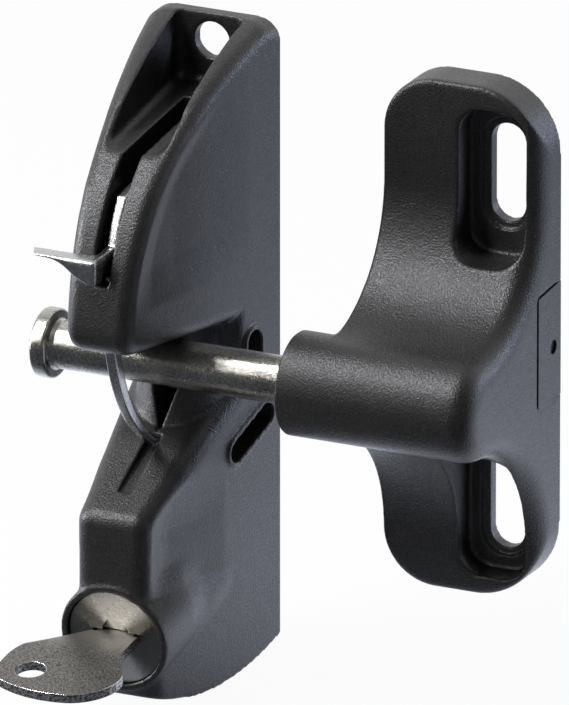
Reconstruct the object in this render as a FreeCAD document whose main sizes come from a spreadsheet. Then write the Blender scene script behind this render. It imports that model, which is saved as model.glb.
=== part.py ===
import FreeCAD, Part
import math
import os
import Sketcher
from FreeCAD import Placement, Rotation, Vector

# Keyed gate latch: a post-mounted latch body with a steel hook arm and a key lock, and a
# striker with a steel bar. X runs along the bar, +Y points to the mounting faces, +Z is up.
# The origin lies on the latch body's mounting face, on its middle plane, level with the bar.
doc = FreeCAD.newDocument("gate_latch")
sheet = doc.addObject("Spreadsheet::Sheet", "sizes")

# Driving sizes, in mm and degrees
sizes = {
    # Latch body, outer form
    "body_width": 38,  # width of the latch body at the mounting face
    "side_taper": 7.125,  # how much each side closes in to the front, degrees
    "body_top": 86,  # top edge above the bar axis
    "body_bottom": -91,  # lower rear corner below the bar axis
    "top_depth": 4.5,  # depth of the body at its top edge
    "brow_depth": 61,  # depth where the brow turns into the nose
    "brow_height": 54.5,  # height where the brow turns into the nose
    "brow_radius": 125,  # radius of the long upper front curve
    "nose_depth": 76,  # greatest depth of the nose
    "nose_height": 18.5,  # height where the nose runs upright
    "nose_radius": 67,  # radius of the nose curve
    "nose_round": 7,  # rounding under the nose
    "roof_height": 10.6,  # height of the throat roof at the nose
    "roof_slope": 0.10,  # fall of the throat roof towards the back
    "throat_back": 22,  # depth of the throat's back wall beside the column
    "ridge_depth": 67.5,  # depth of the ridge under the ramp
    "ramp_start": -14.667,  # height of the ramp at the throat's back wall
    "ramp_slope": 0.526,  # rise of the ramp towards the back
    "ridge_round": 5,  # rounding of the ridge
    "waist_bottom": -62,  # lower end of the upright face under the ridge
    "chin_set": 6,  # lower front corner behind the ridge
    "chin_height": -91.2,  # height of the lower front corner
    "belly_radius": 85,  # radius of the underside
    "edge_round": 4.5,  # rounding of the upper half's long front edges
    "ramp_round": 5,  # rounding of the lower half's long front edges
    "crown_round": 6.5,  # corner radius of the body's top, seen from the front
    "column_radius": 12.5,  # radius of the column behind the bar
    "column_depth": 17.5,  # depth of the column axis, level with the bar
    "column_lean": 14,  # backward lean of the column, degrees

    # Scoop at the top, its screw hole, and the marks in the ramp and column
    "back_plate": 3.8,  # thickness of the back plate round the top hole
    "scoop_half": 10.2,  # half width of the scoop at the back plate
    "scoop_taper": 2,  # how much the scoop's sides close in to the front, degrees
    "scoop_floor": 66.5,  # height of the scoop floor at the back plate
    "scoop_fall": 6.1,  # fall of the scoop floor to the front, degrees
    "scoop_round": 2.5,  # corner radius inside the scoop
    "top_hole": 5.2,  # radius of the top screw hole
    "top_hole_height": 78.2,  # height of the top screw hole
    "groove_width": 3.9,  # width of the ramp groove that takes the hook tip
    "groove_depth": 1.1,  # depth of the ramp groove at its lower end
    "groove_fall": 2.1,  # how much deeper the ramp groove is at its upper end
    "groove_back": 38.5,  # depth where the ramp groove starts
    "groove_front": 58.5,  # depth where the ramp groove ends
    "notch_half": 3.6,  # half width of the column notch at its reference height
    "notch_low": -24,  # point of the column notch
    "notch_high": -12,  # reference height of the column notch
    "notch_top": -3,  # top of the column notch behind the bar
    "notch_back": 21,  # depth of the column notch's back wall
    "side_hole_deep": 7,  # depth of the side holes into the wall
    "upper_hole_depth": 14.1,  # depth of the upper side hole's centre
    "upper_hole_height": -7.6,  # height of the upper side hole's centre
    "upper_hole_length": 17,  # length of the upper side hole
    "upper_hole_radius": 3.4,  # end radius of the upper side hole
    "lower_hole_depth": 15.4,  # depth of the lower side hole's centre
    "lower_hole_height": -28.2,  # height of the lower side hole's centre
    "lower_hole_length": 22.4,  # length of the lower side hole
    "lower_hole_radius": 3.25,  # end radius of the lower side hole
    "lower_hole_angle": 23.1,  # rise of the lower side hole to the back, degrees
    "hole_rim": 1.3,  # width of the raised rim round a side hole
    "rim_proud": 0.9,  # height of the raised rim

    # Arm and its pivot
    "pivot_depth": 16,  # depth of the arm pivot
    "pivot_height": 20.3,  # height of the arm pivot
    "arm_thick": 3.1,  # thickness of the arm plate
    "arm_gap": 1.15,  # gap between the arm plate and each slot wall
    "claw_radius": 52.6,  # outer radius of the hook about the pivot
    "claw_width": 4,  # width of the hook under the roof
    "claw_tip": 1.5,  # width of the hook at its tip
    "claw_low": -61,  # angle of the hook tip below level, degrees
    "plate_radius": 53.5,  # front radius of the arm plate
    "plate_high": 35.3,  # angle of the arm plate's upper front corner, degrees
    "plate_back": 52,  # depth of the arm plate's upper back corner
    "plate_back_height": 52.6,  # height of the arm plate's upper back corner
    "plate_floor": 12.6,  # height of the arm plate's lower edge
    "ear_low": 31.4,  # lower edge of the ear that carries the thumb tab
    "ear_high": 38.8,  # top of the thumb tab
    "ear_front": 79.5,  # front of the thumb tab
    "tab_back": 73.6,  # back edge of the thumb tab
    "tab_left": -20,  # left end of the thumb tab
    "tab_slant": 2.8,  # slant of the thumb tab's left end
    "tab_edge": 0.9,  # thickness of the thumb tab at its left end
    "tab_flat": -12.8,  # place where the tab's underside runs level
    "tab_flat_height": 37.6,  # height where the tab's underside runs level
    "tab_middle": -7,  # place where the tab's two bends meet
    "tab_middle_height": 35,  # height under the middle of the thumb tab
    "tab_bend": 10,  # radius under the middle of the thumb tab
    "tab_root_bend": 13.8,  # radius under the root of the thumb tab
    "hub_radius": 8,  # radius of the arm hub
    "hub_start": 118,  # angle where the arm plate's top edge meets the hub, degrees
    "fork_reach": 12.5,  # reach of the fork under the hub
    "fork_gap": 4.8,  # gap of the fork under the hub
    "fork_prong": 1.9,  # width of each fork prong
    "pin_radius": 3,  # radius of the pivot pin
    "pin_half": 13,  # half length of the pivot pin
    "run_gap": 0.05,  # radial running clearance
    "bush_radius": 6,  # outer radius of a pivot bush
    "bush_outer": 6,  # outer face of a pivot bush from the middle plane
    "bush_gap": 0.25,  # gap between a bush and the arm
    "hub_pocket": 13,  # radius of the pocket round the hub
    "pocket_floor": 11.3,  # height of the arm pocket's floor
    "pocket_top": 61,  # height of the arm pocket's closed top behind the scoop
    "slot_back": 15,  # depth where the arm slot starts in the scoop floor
    "slot_low": 29.9,  # lower end of the arm slot in the nose
    "channel_back": 62.5,  # back of the hook's way out through the roof
    "channel_front": 69.6,  # front of the hook's way out through the roof
    "channel_deep": 12,  # how far the hook's way out is cut below the roof
    "seat_gap": 0.3,  # gap between a piece and what it rests against
    "pad_length": 12,  # length of the stop pad
    "pad_depth": 44,  # back end of the stop pad
    "pad_width": 4,  # width of the stop pad

    # Rear cover
    "cover_half": 15,  # half width of the rear cover
    "cover_thick": 2.2,  # thickness of the rear cover
    "cover_top": 64,  # top of the rear cover
    "cover_bottom": -86,  # bottom of the rear cover
    "cover_round": 3,  # corner radius of the rear cover
    "rib_lower": -47,  # lower end of the lower guide rib
    "rib_upper": -12,  # lower end of the upper guide rib
    "rib_height": 6,  # height of a guide rib
    "rib_thick": 3,  # thickness of the cover's guide ribs
    "lug_start": 6.35,  # inner end of a pin keeper lug
    "fit_gap": 0.15,  # gap round a fitted piece
    "screw_radius": 1.4,  # radius of a cover screw's shank
    "screw_head": 2.8,  # radius of a cover screw's head
    "screw_head_deep": 1.2,  # depth of the counterbore for a cover screw's head
    "drive_deep": 0.7,  # depth of the cross recess in a small screw
    "drive_length": 3.2,  # length of the cross recess in a small screw
    "drive_width": 0.7,  # width of the cross recess in a small screw
    "screw_length": 9,  # length of a cover screw
    "screw_side": 10,  # cover screws from the middle plane
    "screw_high": 52,  # height of the upper cover screws
    "screw_low": -34,  # height of the lower cover screws

    # Lock, measured along its own tilted axis from its face
    "lock_set": 3.3,  # lock face centre behind the ridge
    "lock_height": -73.9,  # height of the lock face centre
    "lock_tilt": 9.5,  # downward tilt of the lock face, degrees
    "boss_radius": 16,  # radius of the lock boss
    "boss_proud": 1.4,  # how far the boss rim stands before the lock face
    "boss_length": 44,  # length of the lock boss
    "boss_seat": 14,  # radius of the counterbore for the lock head
    "boss_seat_deep": 5.6,  # depth of the counterbore behind the lock face
    "head_radius": 13.7,  # radius of the lock plug's face
    "head_thick": 2.4,  # thickness of the lock plug's head
    "head_cone": 0.5,  # height of the plug face's shallow cone
    "face_rim": 0.9,  # width of the flat rim round the plug face's cone
    "flange_radius": 13.6,  # radius of the barrel flange
    "flange_thick": 1.6,  # thickness of the barrel flange
    "flange_start": 2.6,  # outer face of the barrel flange behind the lock face
    "barrel_radius": 10.8,  # radius of the lock barrel
    "barrel_end": 23,  # inner end of the lock barrel
    "core_end": 23.6,  # inner end of the plug's core
    "plug_radius": 8.6,  # radius of the lock plug's core
    "keyway_wide": 13.6,  # width of the keyway mouth
    "keyway_core": 11.4,  # width of the keyway in the core
    "keyway_thick": 3,  # height of the keyway
    "keyway_end": 21,  # inner end of the keyway
    "mouth_deep": 1.6,  # depth of the keyway mouth and relief
    "mouth_thick": 3.6,  # height of the keyway mouth
    "keyway_dome": 3.9,  # radius of the thumb relief over the keyway
    "wall_end": 14,  # inner face of the wall that the nut clamps
    "lock_bore": 11,  # radius of the bore through that wall
    "chamber_radius": 13.6,  # radius of the chamber behind the wall
    "chamber_end": 36,  # inner end of the chamber
    "window_set": 34.2,  # end of the lock chamber's rear window behind the lock face
    "window_half": 12.9,  # half width of the lock chamber's rear window
    "window_high": -52,  # upper edge of the lock chamber's rear window
    "window_low": -84,  # lower edge of the lock chamber's rear window
    "washer_thick": 1,  # thickness of the lock washer
    "washer_radius": 13.2,  # radius of the lock washer
    "nut_thick": 4,  # thickness of the lock nut
    "nut_radius": 12.7,  # corner radius of the lock nut
    "tail_half": 3,  # half width of the plug's square tail
    "tail_end": 26.5,  # end of the plug's square tail
    "stop_thick": 0.8,  # thickness of the stop washer
    "lug_spare": 2,  # free turn before a stop lug, degrees
    "lug_spread": 16,  # spread of a stop lug, degrees
    "lug_inner": 9,  # inner radius of the barrel's stop lugs
    "stop_spread": 12,  # half spread of the stop tab, degrees
    "stop_reach": 9.6,  # reach of the stop washer's tab
    "stop_radius": 5.9,  # radius of the stop washer
    "cam_thick": 2.4,  # thickness of the cam
    "cam_low": 5.8,  # smallest radius of the cam
    "cam_rise": 4.437,  # growth of the cam over a quarter turn
    "cam_screw_start": 22.2,  # inner start of the cam screw's hole in the tail
    "cam_screw_radius": 1.25,  # shank radius of the cam screw
    "cam_screw_high": 2,  # head height of the cam screw
    "cam_screw_head": 3.5,  # head radius of the cam screw
    "cam_land": 20,  # land after the cam's high point, degrees
    "wafer_thick": 1.2,  # thickness of a wafer
    "wafer_pitch": 3,  # spacing of the wafers
    "wafer_first": 6.5,  # first wafer behind the face
    "wafer_width": 13.6,  # width of a wafer
    "wafer_height": 7.6,  # height of a wafer
    "spring_x": 4,  # place of the wafer springs beside the axis
    "spring_length": 3,  # length of a wafer spring
    "spring_radius": 0.6,  # radius of a wafer spring
    "window_height": 3.3,  # height of a wafer's window
    "window_width": 11.6,  # width of a wafer's window
    "wafer_gap": 0.1,  # gap round a wafer in its slot
    "wafer_count": 5,  # number of wafers

    # Key
    "key_thick": 2.6,  # thickness of the key
    "bow_left": -23,  # left edge of the key's bow
    "bow_length": 35.7,  # reach of the key's bow from the lock face
    "bow_width": 35.5,  # width of the key's bow
    "blade_width": 11,  # width of the key blade
    "blade_length": 20,  # length of the key blade behind the face
    "blade_tip": 2.5,  # length of the slanted corners at the blade's tip
    "ring_hole": 4.3,  # radius of the key's ring hole
    "ring_out": 25.6,  # distance of the ring hole from the lock face
    "ring_x": -13.1,  # place of the ring hole beside the key's axis

    # Locking plate
    "plate_thick": 3,  # thickness of the locking plate
    "leg_back": 13,  # back edge of the locking plate's leg
    "leg_front": 19,  # front edge of the locking plate's leg
    "leg_top": 2.8,  # shoulder height of the locking plate's leg
    "tooth_top": 7.5,  # top of the tooth under the arm's fork
    "tooth_width": 4,  # width of the tooth
    "foot_link": -53,  # top edge of the locking plate's foot
    "plate_gap": 0.4,  # gap between the locking plate and its slot
    "link_low": -60,  # lower edge of the locking plate's foot link
    "foot_low": -63.2,  # underside of the foot above the cam
    "foot_set": 28.2,  # back edge of the foot behind the lock face
    "foot_wide": 6,  # depth of the foot
    "foot_chamfer": 1,  # chamfer under the foot
    "lift_rise": 4.5,  # rise of the locking plate over a quarter turn

    # Striker
    "bar_depth": 44.5,  # depth of the striker bar's axis
    "bar_radius": 6.65,  # radius of the striker bar
    "bar_left": -26.3,  # inner face of the bar's head
    "bar_head_thick": 4.8,  # thickness of the bar's head
    "bar_head_radius": 9.7,  # radius of the bar's head
    "bar_collar": 1.2,  # length of the flare behind the bar's head
    "flare_radius": 7.3,  # radius of the flare at the bar's head
    "bar_end": 92,  # right end of the bar inside the striker
    "striker_left": 55.4,  # left edge of the striker plate
    "striker_right": 102.8,  # right side face of the striker
    "striker_top": 80.2,  # top of the striker plate
    "striker_bottom": -65.4,  # bottom of the striker plate
    "corner_left": 15.5,  # radius of the striker plate's left corners
    "corner_right": 20,  # radius of the striker plate's right corners
    "housing_left": 45,  # left end of the bar housing
    "housing_radius": 14.4,  # radius of the bar housing
    "saddle_depth": 49,  # depth of the concave front's centre
    "saddle_height": 50.5,  # height of the concave front's centre
    "striker_edge": 6.5,  # rounding of the striker's right front edge
    "slot_x": 89,  # middle of the mounting slots
    "slot_radius": 5.1,  # radius of the mounting slots
    "slot_length": 28,  # length of the mounting slots end to end
    "upper_slot": 53.9,  # height of the upper mounting slot
    "lower_slot": -39.8,  # height of the lower mounting slot
    "slot_floor": 5.2,  # thickness of the plate under a screw head
    "recess_x": 88,  # middle of the screw recesses
    "recess_half": 10,  # half width of the screw recesses
    "recess_round": 7,  # corner radius of the screw recesses
    "step_wide": 2.2,  # width of the step round a mounting slot
    "step_deep": 1,  # depth of the step round a mounting slot
    "recess_length": 42.5,  # length of the screw recesses
    "lower_recess": -38.6,  # height of the lower screw recess
    "upper_recess": 52,  # height of the upper screw recess
    "sleeve_wall": 1.6,  # wall of the steel sleeve round the bar
    "sleeve_gap": 0.1,  # gap between the bar and its sleeve
    "sleeve_left": 47,  # left end of the sleeve
    "fix_radius": 2.4,  # radius of the bar's fixing screw
    "fix_x": 66,  # position of the bar's fixing screw
    "fix_head": 4.2,  # head radius of the bar's fixing screw
    "fix_socket": 1.9,  # corner radius of the fixing screw's hexagon socket
    "fix_length": 20,  # shank length of the bar's fixing screw
    "fix_seat": 30,  # depth where the fixing screw's head rests
    "fix_head_high": 3,  # head height of the bar's fixing screw
    "cap_low": -8.8,  # bottom of the side cap
    "cap_high": 24,  # top of the side cap
    "cap_slant": 1.2,  # fall of the cap's top edge to the front
    "cap_deep": 14.2,  # depth of the side cap from the mounting face
    "cap_thick": 1.6,  # thickness of the side cap
    "cap_notch": 2,  # radius of the prising notch in the side cap
    "notch_height": 6.2,  # height of the prising notch
    "notch_back_way": 4.6,  # prising notch from the mounting face
}

for row, (alias, value) in enumerate(sizes.items(), 1):
    sheet.set(f"A{row}", alias.replace("_", " "))
    sheet.set(f"B{row}", str(value))
    sheet.setAlias(f"B{row}", alias)
doc.recompute()

# Places that follow from the sizes: the lock, its window and the foot stay with the ridge
follows = {
    "ridge_height": "( ramp_start - ( ridge_depth - throat_back ) * ramp_slope )",
    "chin_depth": "( ridge_depth - chin_set )",
    "lock_depth": "( ridge_depth - lock_set )",
    "window_deep": "( lock_depth - window_set )",
    "foot_back": "( lock_depth - foot_set )",
    "foot_front": "( foot_back + foot_wide )",
}


def number(text):
    """Value of a sheet expression."""
    return float(sheet.evalExpression(text))


def sized(text):
    """Sheet expression with every size name given its sheet."""
    words = text.replace("(", " ( ").replace(")", " ) ").split()
    while any(word in follows for word in words):
        words = " ".join(follows.get(word, word) for word in words).split()
    full = " ".join("sizes." + word if word in sizes else word for word in words)
    for function in ("sin", "cos", "tan", "sqrt"):
        full = full.replace(function + " (", function + "(")
    return full


def new_body(name):
    body = doc.addObject("PartDesign::Body", name)
    body.Label = name
    return body


def plane(body, role):
    return [item for item in body.Origin.OriginFeatures if item.Role == role][0]


def new_sketch(body, role, name, offset=None):
    """Sketch on one of the body's own origin planes, moved by an offset if one is given."""
    sketch = body.newObject("Sketcher::SketchObject", name)
    sketch.AttachmentSupport = [(plane(body, role), "")]
    sketch.MapMode = "FlatFace"
    if offset:
        sketch.AttachmentOffset = offset
    return sketch


def arc_between(start, end, radius, turn):
    """Arc of less than a half circle; turn is 1 for anticlockwise and -1 for clockwise."""
    half = (end - start) * 0.5
    left = Vector(-half.y, half.x, 0)
    left.normalize()
    reach = math.sqrt(max(radius * radius - half.Length * half.Length, 0))
    centre = start + half + left * reach * turn
    first, last = (start, end) if turn > 0 else (end, start)
    begin = math.atan2(first.y - centre.y, first.x - centre.x)
    finish = math.atan2(last.y - centre.y, last.x - centre.x)
    return Part.ArcOfCircle(Part.Circle(centre, Vector(0, 0, 1), radius), begin, finish)


def tie(sketch, kind, geometry, spot, text):
    """Bind one coordinate or radius of a sketch element to a sheet expression."""
    formula = sized(text)
    value = number(formula)
    if kind == "Radius":
        index = sketch.addConstraint(Sketcher.Constraint("Radius", geometry, value))
    elif formula == "0":
        axis = -2 if kind == "DistanceX" else -1
        sketch.addConstraint(Sketcher.Constraint("PointOnObject", geometry, spot, axis))
        return
    else:
        index = sketch.addConstraint(Sketcher.Constraint(kind, -1, 1, geometry, spot, value))
    name = f"{kind}_{index}"
    sketch.renameConstraint(index, name)
    sketch.setExpression(f"Constraints.{name}", formula)


def outline(sketch, corners):
    """Closed outline; a corner is (x, y), or (x, y, radius, turn) when an arc leads to it."""
    points = [Vector(number(sized(c[0])), number(sized(c[1])), 0) for c in corners]
    first = sketch.GeometryCount
    ends = []
    for index, corner in enumerate(corners):
        start, end = points[index - 1], points[index]
        if len(corner) == 2:
            sketch.addGeometry(Part.LineSegment(start, end))
            ends.append((1, 2))
        else:
            radius = number(sized(corner[2]))
            sketch.addGeometry(arc_between(start, end, radius, corner[3]))
            ends.append((1, 2) if corner[3] > 0 else (2, 1))
    for index, corner in enumerate(corners):
        following = (index + 1) % len(corners)
        here, there = first + index, first + following
        sketch.addConstraint(
            Sketcher.Constraint("Coincident", here, ends[index][1], there, ends[following][0]))
        tie(sketch, "DistanceX", here, ends[index][1], corner[0])
        tie(sketch, "DistanceY", here, ends[index][1], corner[1])
        if len(corner) > 2:
            tie(sketch, "Radius", here, 0, corner[2])


def circle(sketch, x, y, radius):
    spot = Vector(number(sized(x)), number(sized(y)), 0)
    index = sketch.addGeometry(Part.Circle(spot, Vector(0, 0, 1), number(sized(radius))))
    tie(sketch, "DistanceX", index, 3, x)
    tie(sketch, "DistanceY", index, 3, y)
    tie(sketch, "Radius", index, 0, radius)


def slot(sketch, x, y, length, radius, angle):
    """Round-ended slot about a centre, its long axis at an angle to the sketch's first axis."""
    reach = f"( ( {length} ) / 2 - {radius} )"

    def corner(along, aside):
        return (f"{x} + ( {along} ) * cos ( {angle} ) - ( {aside} ) * sin ( {angle} )",
                f"{y} + ( {along} ) * sin ( {angle} ) + ( {aside} ) * cos ( {angle} )")

    outline(sketch, [
        corner(reach, f"0 - {radius}"),
        corner(f"{reach} + {radius}", "0") + (radius, 1),
        corner(reach, radius) + (radius, 1),
        corner(f"0 - {reach}", radius),
        corner(f"0 - {reach} - {radius}", "0") + (radius, 1),
        corner(f"0 - {reach}", f"0 - {radius}") + (radius, 1),
    ])


def rectangle(sketch, left, right, low, high):
    outline(sketch, [(right, low), (right, high), (left, high), (left, low)])


def round_rectangle(sketch, left, right, low, high, radius):
    outline(sketch, [
        (f"{right} - {radius}", low),
        (right, f"{low} + {radius}", radius, 1),
        (right, f"{high} - {radius}"),
        (f"{right} - {radius}", high, radius, 1),
        (f"{left} + {radius}", high),
        (left, f"{high} - {radius}", radius, 1),
        (left, f"{low} + {radius}"),
        (f"{left} + {radius}", low, radius, 1),
    ])


def feature(body, kind, name, sketch, length, side="One side", back=False, length2=None):
    """Pad or pocket from a sketch, its length bound to the sheet."""
    item = body.newObject("PartDesign::" + kind, name)
    item.Profile = sketch
    item.SideType = side
    item.Reversed = back
    item.setExpression("Length", sized(length))
    if length2:
        item.setExpression("Length2", sized(length2))
    before = body.Tip.Shape.Volume if body.Tip and not body.Tip.Shape.isNull() else 0
    doc.recompute()
    if kind == "Pocket" and item.Shape.Volume > before - 1e-6 and before > 0:
        print("pocket cuts nothing:", body.Name, name)
    return item


def fillet(body, name, base, keep, radius):
    """Fillet on the edges of the base feature that the test function keeps."""
    edges = [f"Edge{i + 1}" for i, edge in enumerate(base.Shape.Edges) if keep(edge)]
    item = body.newObject("PartDesign::Fillet", name)
    item.Base = (base, edges)
    item.setExpression("Radius", sized(radius))
    doc.recompute()
    return item


def middle(edge):
    return edge.valueAt((edge.FirstParameter + edge.LastParameter) / 2)


def bind(item, **texts):
    """Bind an object's properties to sheet expressions; dots in a name are written as __."""
    for name, text in texts.items():
        item.setExpression(name.replace("__", "."), sized(text))


def cylinder(name, radius, height):
    item = doc.addObject("Part::Cylinder", name)
    bind(item, Radius=radius, Height=height)
    return item


def along_x(item, x, depth, height):
    """Turn a primitive's axis to +X and place its start."""
    item.Placement = Placement(Vector(), Rotation(Vector(0, 1, 0), 90))
    bind(item, Placement__Base__x=x, Placement__Base__y=f"0 - ( {depth} )", Placement__Base__z=height)
    return item


def ramp(depth):
    """Height of the ramp at a depth."""
    return f"( ramp_start - ( {depth} - throat_back ) * ramp_slope )"


def roof(depth):
    """Height of the throat roof at a depth."""
    return f"( roof_height - ( nose_depth - {depth} ) * roof_slope )"


def half_width(depth):
    """Half width of the tapered latch body at a depth."""
    return f"( body_width / 2 - ( {depth} ) * tan ( side_taper ) )"


def polar(radius, angle):
    """Sketch corner at a radius and angle about the arm pivot."""
    return (f"0 - pivot_depth - ( {radius} ) * cos ( {angle} )",
            f"pivot_height + ( {radius} ) * sin ( {angle} )")


def at(depth, height):
    return (f"0 - ( {depth} )", f"{height}")


# Latch housing: one moulding, closed in to the front, with a throat for the bar
housing = new_body("latch_housing")
side = new_sketch(housing, "YZ_Plane", "housing_side")
outline(side, [
    at("0", "body_bottom"),
    at("chin_depth", "chin_height") + ("belly_radius", -1),
    at("ridge_depth", "waist_bottom"),
    at("ridge_depth", "ridge_height"),
    at("throat_back", ramp("throat_back")),
    at("throat_back", roof("throat_back")),
    at("nose_depth", "roof_height"),
    at("nose_depth", "nose_height"),
    at("brow_depth", "brow_height") + ("nose_radius", -1),
    at("top_depth", "body_top") + ("brow_radius", -1),
    at("0", "body_top"),
])
block = feature(housing, "Pad", "housing_block", side, "body_width", "Symmetric")

taper = new_sketch(housing, "XY_Plane", "housing_taper")
for sign in ("", "0 - "):
    outline(taper, [
        (f"{sign}( body_width / 2 )", "0"),
        (f"{sign}( body_width )", "0"),
        (f"{sign}( body_width )", "0 - nose_depth - 5"),
        (f"{sign}{half_width('nose_depth + 5')}", "0 - nose_depth - 5"),
    ])
tapered = feature(housing, "Pocket", "housing_sides", taper, "4 * body_top", "Symmetric")


def across(depth, height):
    """Test for an edge along X near a point of the side outline."""
    spot = Vector(0, -number(sized(depth)), number(sized(height)))
    return lambda edge: (middle(edge) - spot).Length < 1.5


nose = fillet(housing, "housing_nose", tapered, across("nose_depth", "roof_height"), "nose_round")
ridge = fillet(housing, "housing_ridge", nose, across("ridge_depth", "ridge_height"), "ridge_round")


def long_edge(edge):
    """Edge where a side face meets the front, top, throat or underside."""
    point = middle(edge)
    width = number(sized(half_width(str(-point.y))))
    on_side = abs(abs(point.x) - width) < 0.1
    return on_side and point.y < -0.1


# Crown: the top corners are cut round, then all long edges are softened
crown = new_sketch(housing, "XZ_Plane", "housing_crown")
for turn_x in (1, -1):
    side_x = f"{turn_x} * body_width / 2"
    outline(crown, [
        (side_x, "body_top - crown_round"),
        (f"{side_x} - {turn_x} * crown_round", "body_top") + ("crown_round", turn_x),
        (f"{side_x} - {turn_x} * crown_round", "body_top + 1"),
        (f"{side_x} + {turn_x}", "body_top + 1"),
        (f"{side_x} + {turn_x}", "body_top - crown_round"),
    ])
crowned = feature(housing, "Pocket", "crown_corners", crown, "2 * nose_depth", "Symmetric")
upper_soft = fillet(housing, "housing_upper_edges", crowned,
                    lambda edge: long_edge(edge) and middle(edge).z > 0, "edge_round")


def lower_edge(edge):
    """Long edges of the ramp and the upright face under it, without the underside."""
    point = middle(edge)
    return long_edge(edge) and number("sizes.chin_height") + 0.1 < point.z < 0


rounded = fillet(housing, "housing_lower_edges", upper_soft, lower_edge, "ramp_round")


def lean(sketch, angle, y="0", z="0"):
    """Turn a sketch about its first axis and shift it, all bound to the sheet."""
    turn = Rotation(Vector(1, 0, 0), number(sized(angle)))
    sketch.AttachmentOffset = Placement(Vector(), turn)
    bind(sketch, AttachmentOffset__Base__y=y, AttachmentOffset__Base__z=z,
         AttachmentOffset__Rotation__Angle=angle)


def on_lock(sketch, inward="0"):
    """Put a sketch square to the lock axis, at a distance inward from the lock face."""
    lean(sketch, "lock_tilt", f"lock_height + ( {inward} ) * sin ( lock_tilt )",
         f"lock_depth - ( {inward} ) * cos ( lock_tilt )")


# Column behind the bar: it leans back, and joins the upper and lower halves
column = new_sketch(housing, "XY_Plane", "housing_column")
lean(column, "0 - column_lean")
circle(column, "0", "0 - column_depth", "column_radius")
feature(housing, "Pad", "housing_spine", column, "roof_height + 4", "Two sides",
        length2="0 - ridge_height - 6")

# Lock boss: a round barrel that runs back into the lower half
boss = new_sketch(housing, "XZ_Plane", "housing_boss")
on_lock(boss)
circle(boss, "0", "0", "boss_radius")
feature(housing, "Pad", "boss_barrel", boss, "boss_proud", "Two sides", length2="boss_length")

# Scoop: an open hollow at the top between two thin side walls, with a sloping floor
scoop = new_sketch(housing, "XY_Plane", "housing_scoop")
lean(scoop, "scoop_fall", "0 - back_plate", "scoop_floor")
outline(scoop, [
    ("scoop_half", "0"), ("0 - scoop_half", "0"),
    ("0 - scoop_half + nose_depth * tan ( scoop_taper )", "0 - nose_depth"),
    ("scoop_half - nose_depth * tan ( scoop_taper )", "0 - nose_depth"),
])
scooped = feature(housing, "Pocket", "scoop_hollow", scoop, "2 * body_top", back=True)
scooped.UseCustomVector = True
scooped.Direction = Vector(0, 0, -1)
doc.recompute()


def scoop_edge(edge):
    """Inner edges of the scoop, round its back wall and along its floor."""
    point = middle(edge)
    floor = number("sizes.scoop_floor + tan(sizes.scoop_fall) * sizes.back_plate")
    floor += point.y * math.tan(math.radians(number("sizes.scoop_fall")))
    side_wall = number(sized(f"scoop_half - ( {-point.y} - back_plate ) * tan ( scoop_taper )"))
    on_floor = abs(point.z - floor) < 0.1
    on_back = abs(point.y + number("sizes.back_plate")) < 0.1
    on_side = abs(abs(point.x) - side_wall) < 0.6
    inside = number("sizes.body_top") - 0.5 > point.z > floor - 0.1 and edge.Length > 1
    return inside and (on_floor and on_back or on_floor and on_side or on_back and on_side)


scoop_soft = fillet(housing, "scoop_corners", scooped, scoop_edge, "scoop_round")
top_hole = new_sketch(housing, "XZ_Plane", "housing_top_hole")
circle(top_hole, "0", "top_hole_height", "top_hole")
feature(housing, "Pocket", "top_screw_hole", top_hole, "4 * back_plate", "Symmetric")

# Arm pocket: a narrow slot from the scoop down the nose, and out through the throat roof
slot_width = "arm_thick + 2 * arm_gap"
arm_slot = new_sketch(housing, "YZ_Plane", "housing_arm_slot")
outline(arm_slot, [
    at("0 - 1", "pocket_floor"),
    at("channel_back", "pocket_floor"),
    at("channel_back", "roof_height - channel_deep"),
    at("channel_front", "roof_height - channel_deep"),
    at("channel_front", "slot_low"),
    at("nose_depth + 20", "slot_low"),
    at("nose_depth + 20", "body_top + 20"),
    at("slot_back", "body_top + 20"),
    at("slot_back", "pocket_top"),
    at("0 - 1", "pocket_top"),
])
feature(housing, "Pocket", "arm_slot", arm_slot, slot_width, "Symmetric")
hub_room = new_sketch(housing, "YZ_Plane", "housing_hub_room")
outline(hub_room, [
    at("pivot_depth", "pivot_height - hub_pocket"),
    at("pivot_depth + hub_pocket", "pivot_height") + ("hub_pocket", -1),
    at("pivot_depth", "pivot_height + hub_pocket") + ("hub_pocket", -1),
    at("0 - 1", "pivot_height + hub_pocket"),
    at("0 - 1", "pivot_height - hub_pocket"),
])
feature(housing, "Pocket", "hub_room", hub_room, "2 * bush_outer + 0.4", "Symmetric")
pin_seat = new_sketch(housing, "YZ_Plane", "housing_pin_seat")
seat = "( pin_radius + run_gap )"
outline(pin_seat, [
    at("pivot_depth", f"pivot_height - {seat}"),
    at(f"pivot_depth + {seat}", "pivot_height") + (seat, -1),
    at("pivot_depth", f"pivot_height + {seat}") + (seat, -1),
    at("0 - 1", f"pivot_height + {seat}"),
    at("0 - 1", f"pivot_height - {seat}"),
])
feature(housing, "Pocket", "pin_seats", pin_seat, "2 * pin_half + 2 * fit_gap", "Symmetric")

# Slot for the locking plate, open to the back, from the hub down to the lock chamber
plate_slot = new_sketch(housing, "YZ_Plane", "housing_plate_slot")
outline(plate_slot, [
    at("0 - 1", "window_high"),
    at("leg_back", "window_high"),
    at("leg_back", "lock_height"),
    at("foot_front + plate_gap", "lock_height"),
    at("foot_front + plate_gap", "foot_link + lift_rise + plate_gap"),
    at("leg_front + plate_gap", "foot_link + lift_rise + plate_gap"),
    at("leg_front + plate_gap", "pivot_height - hub_pocket + 1"),
    at("0 - 1", "pivot_height - hub_pocket + 1"),
])
feature(housing, "Pocket", "plate_slot", plate_slot, "plate_thick + 2 * plate_gap", "Symmetric")

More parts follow.
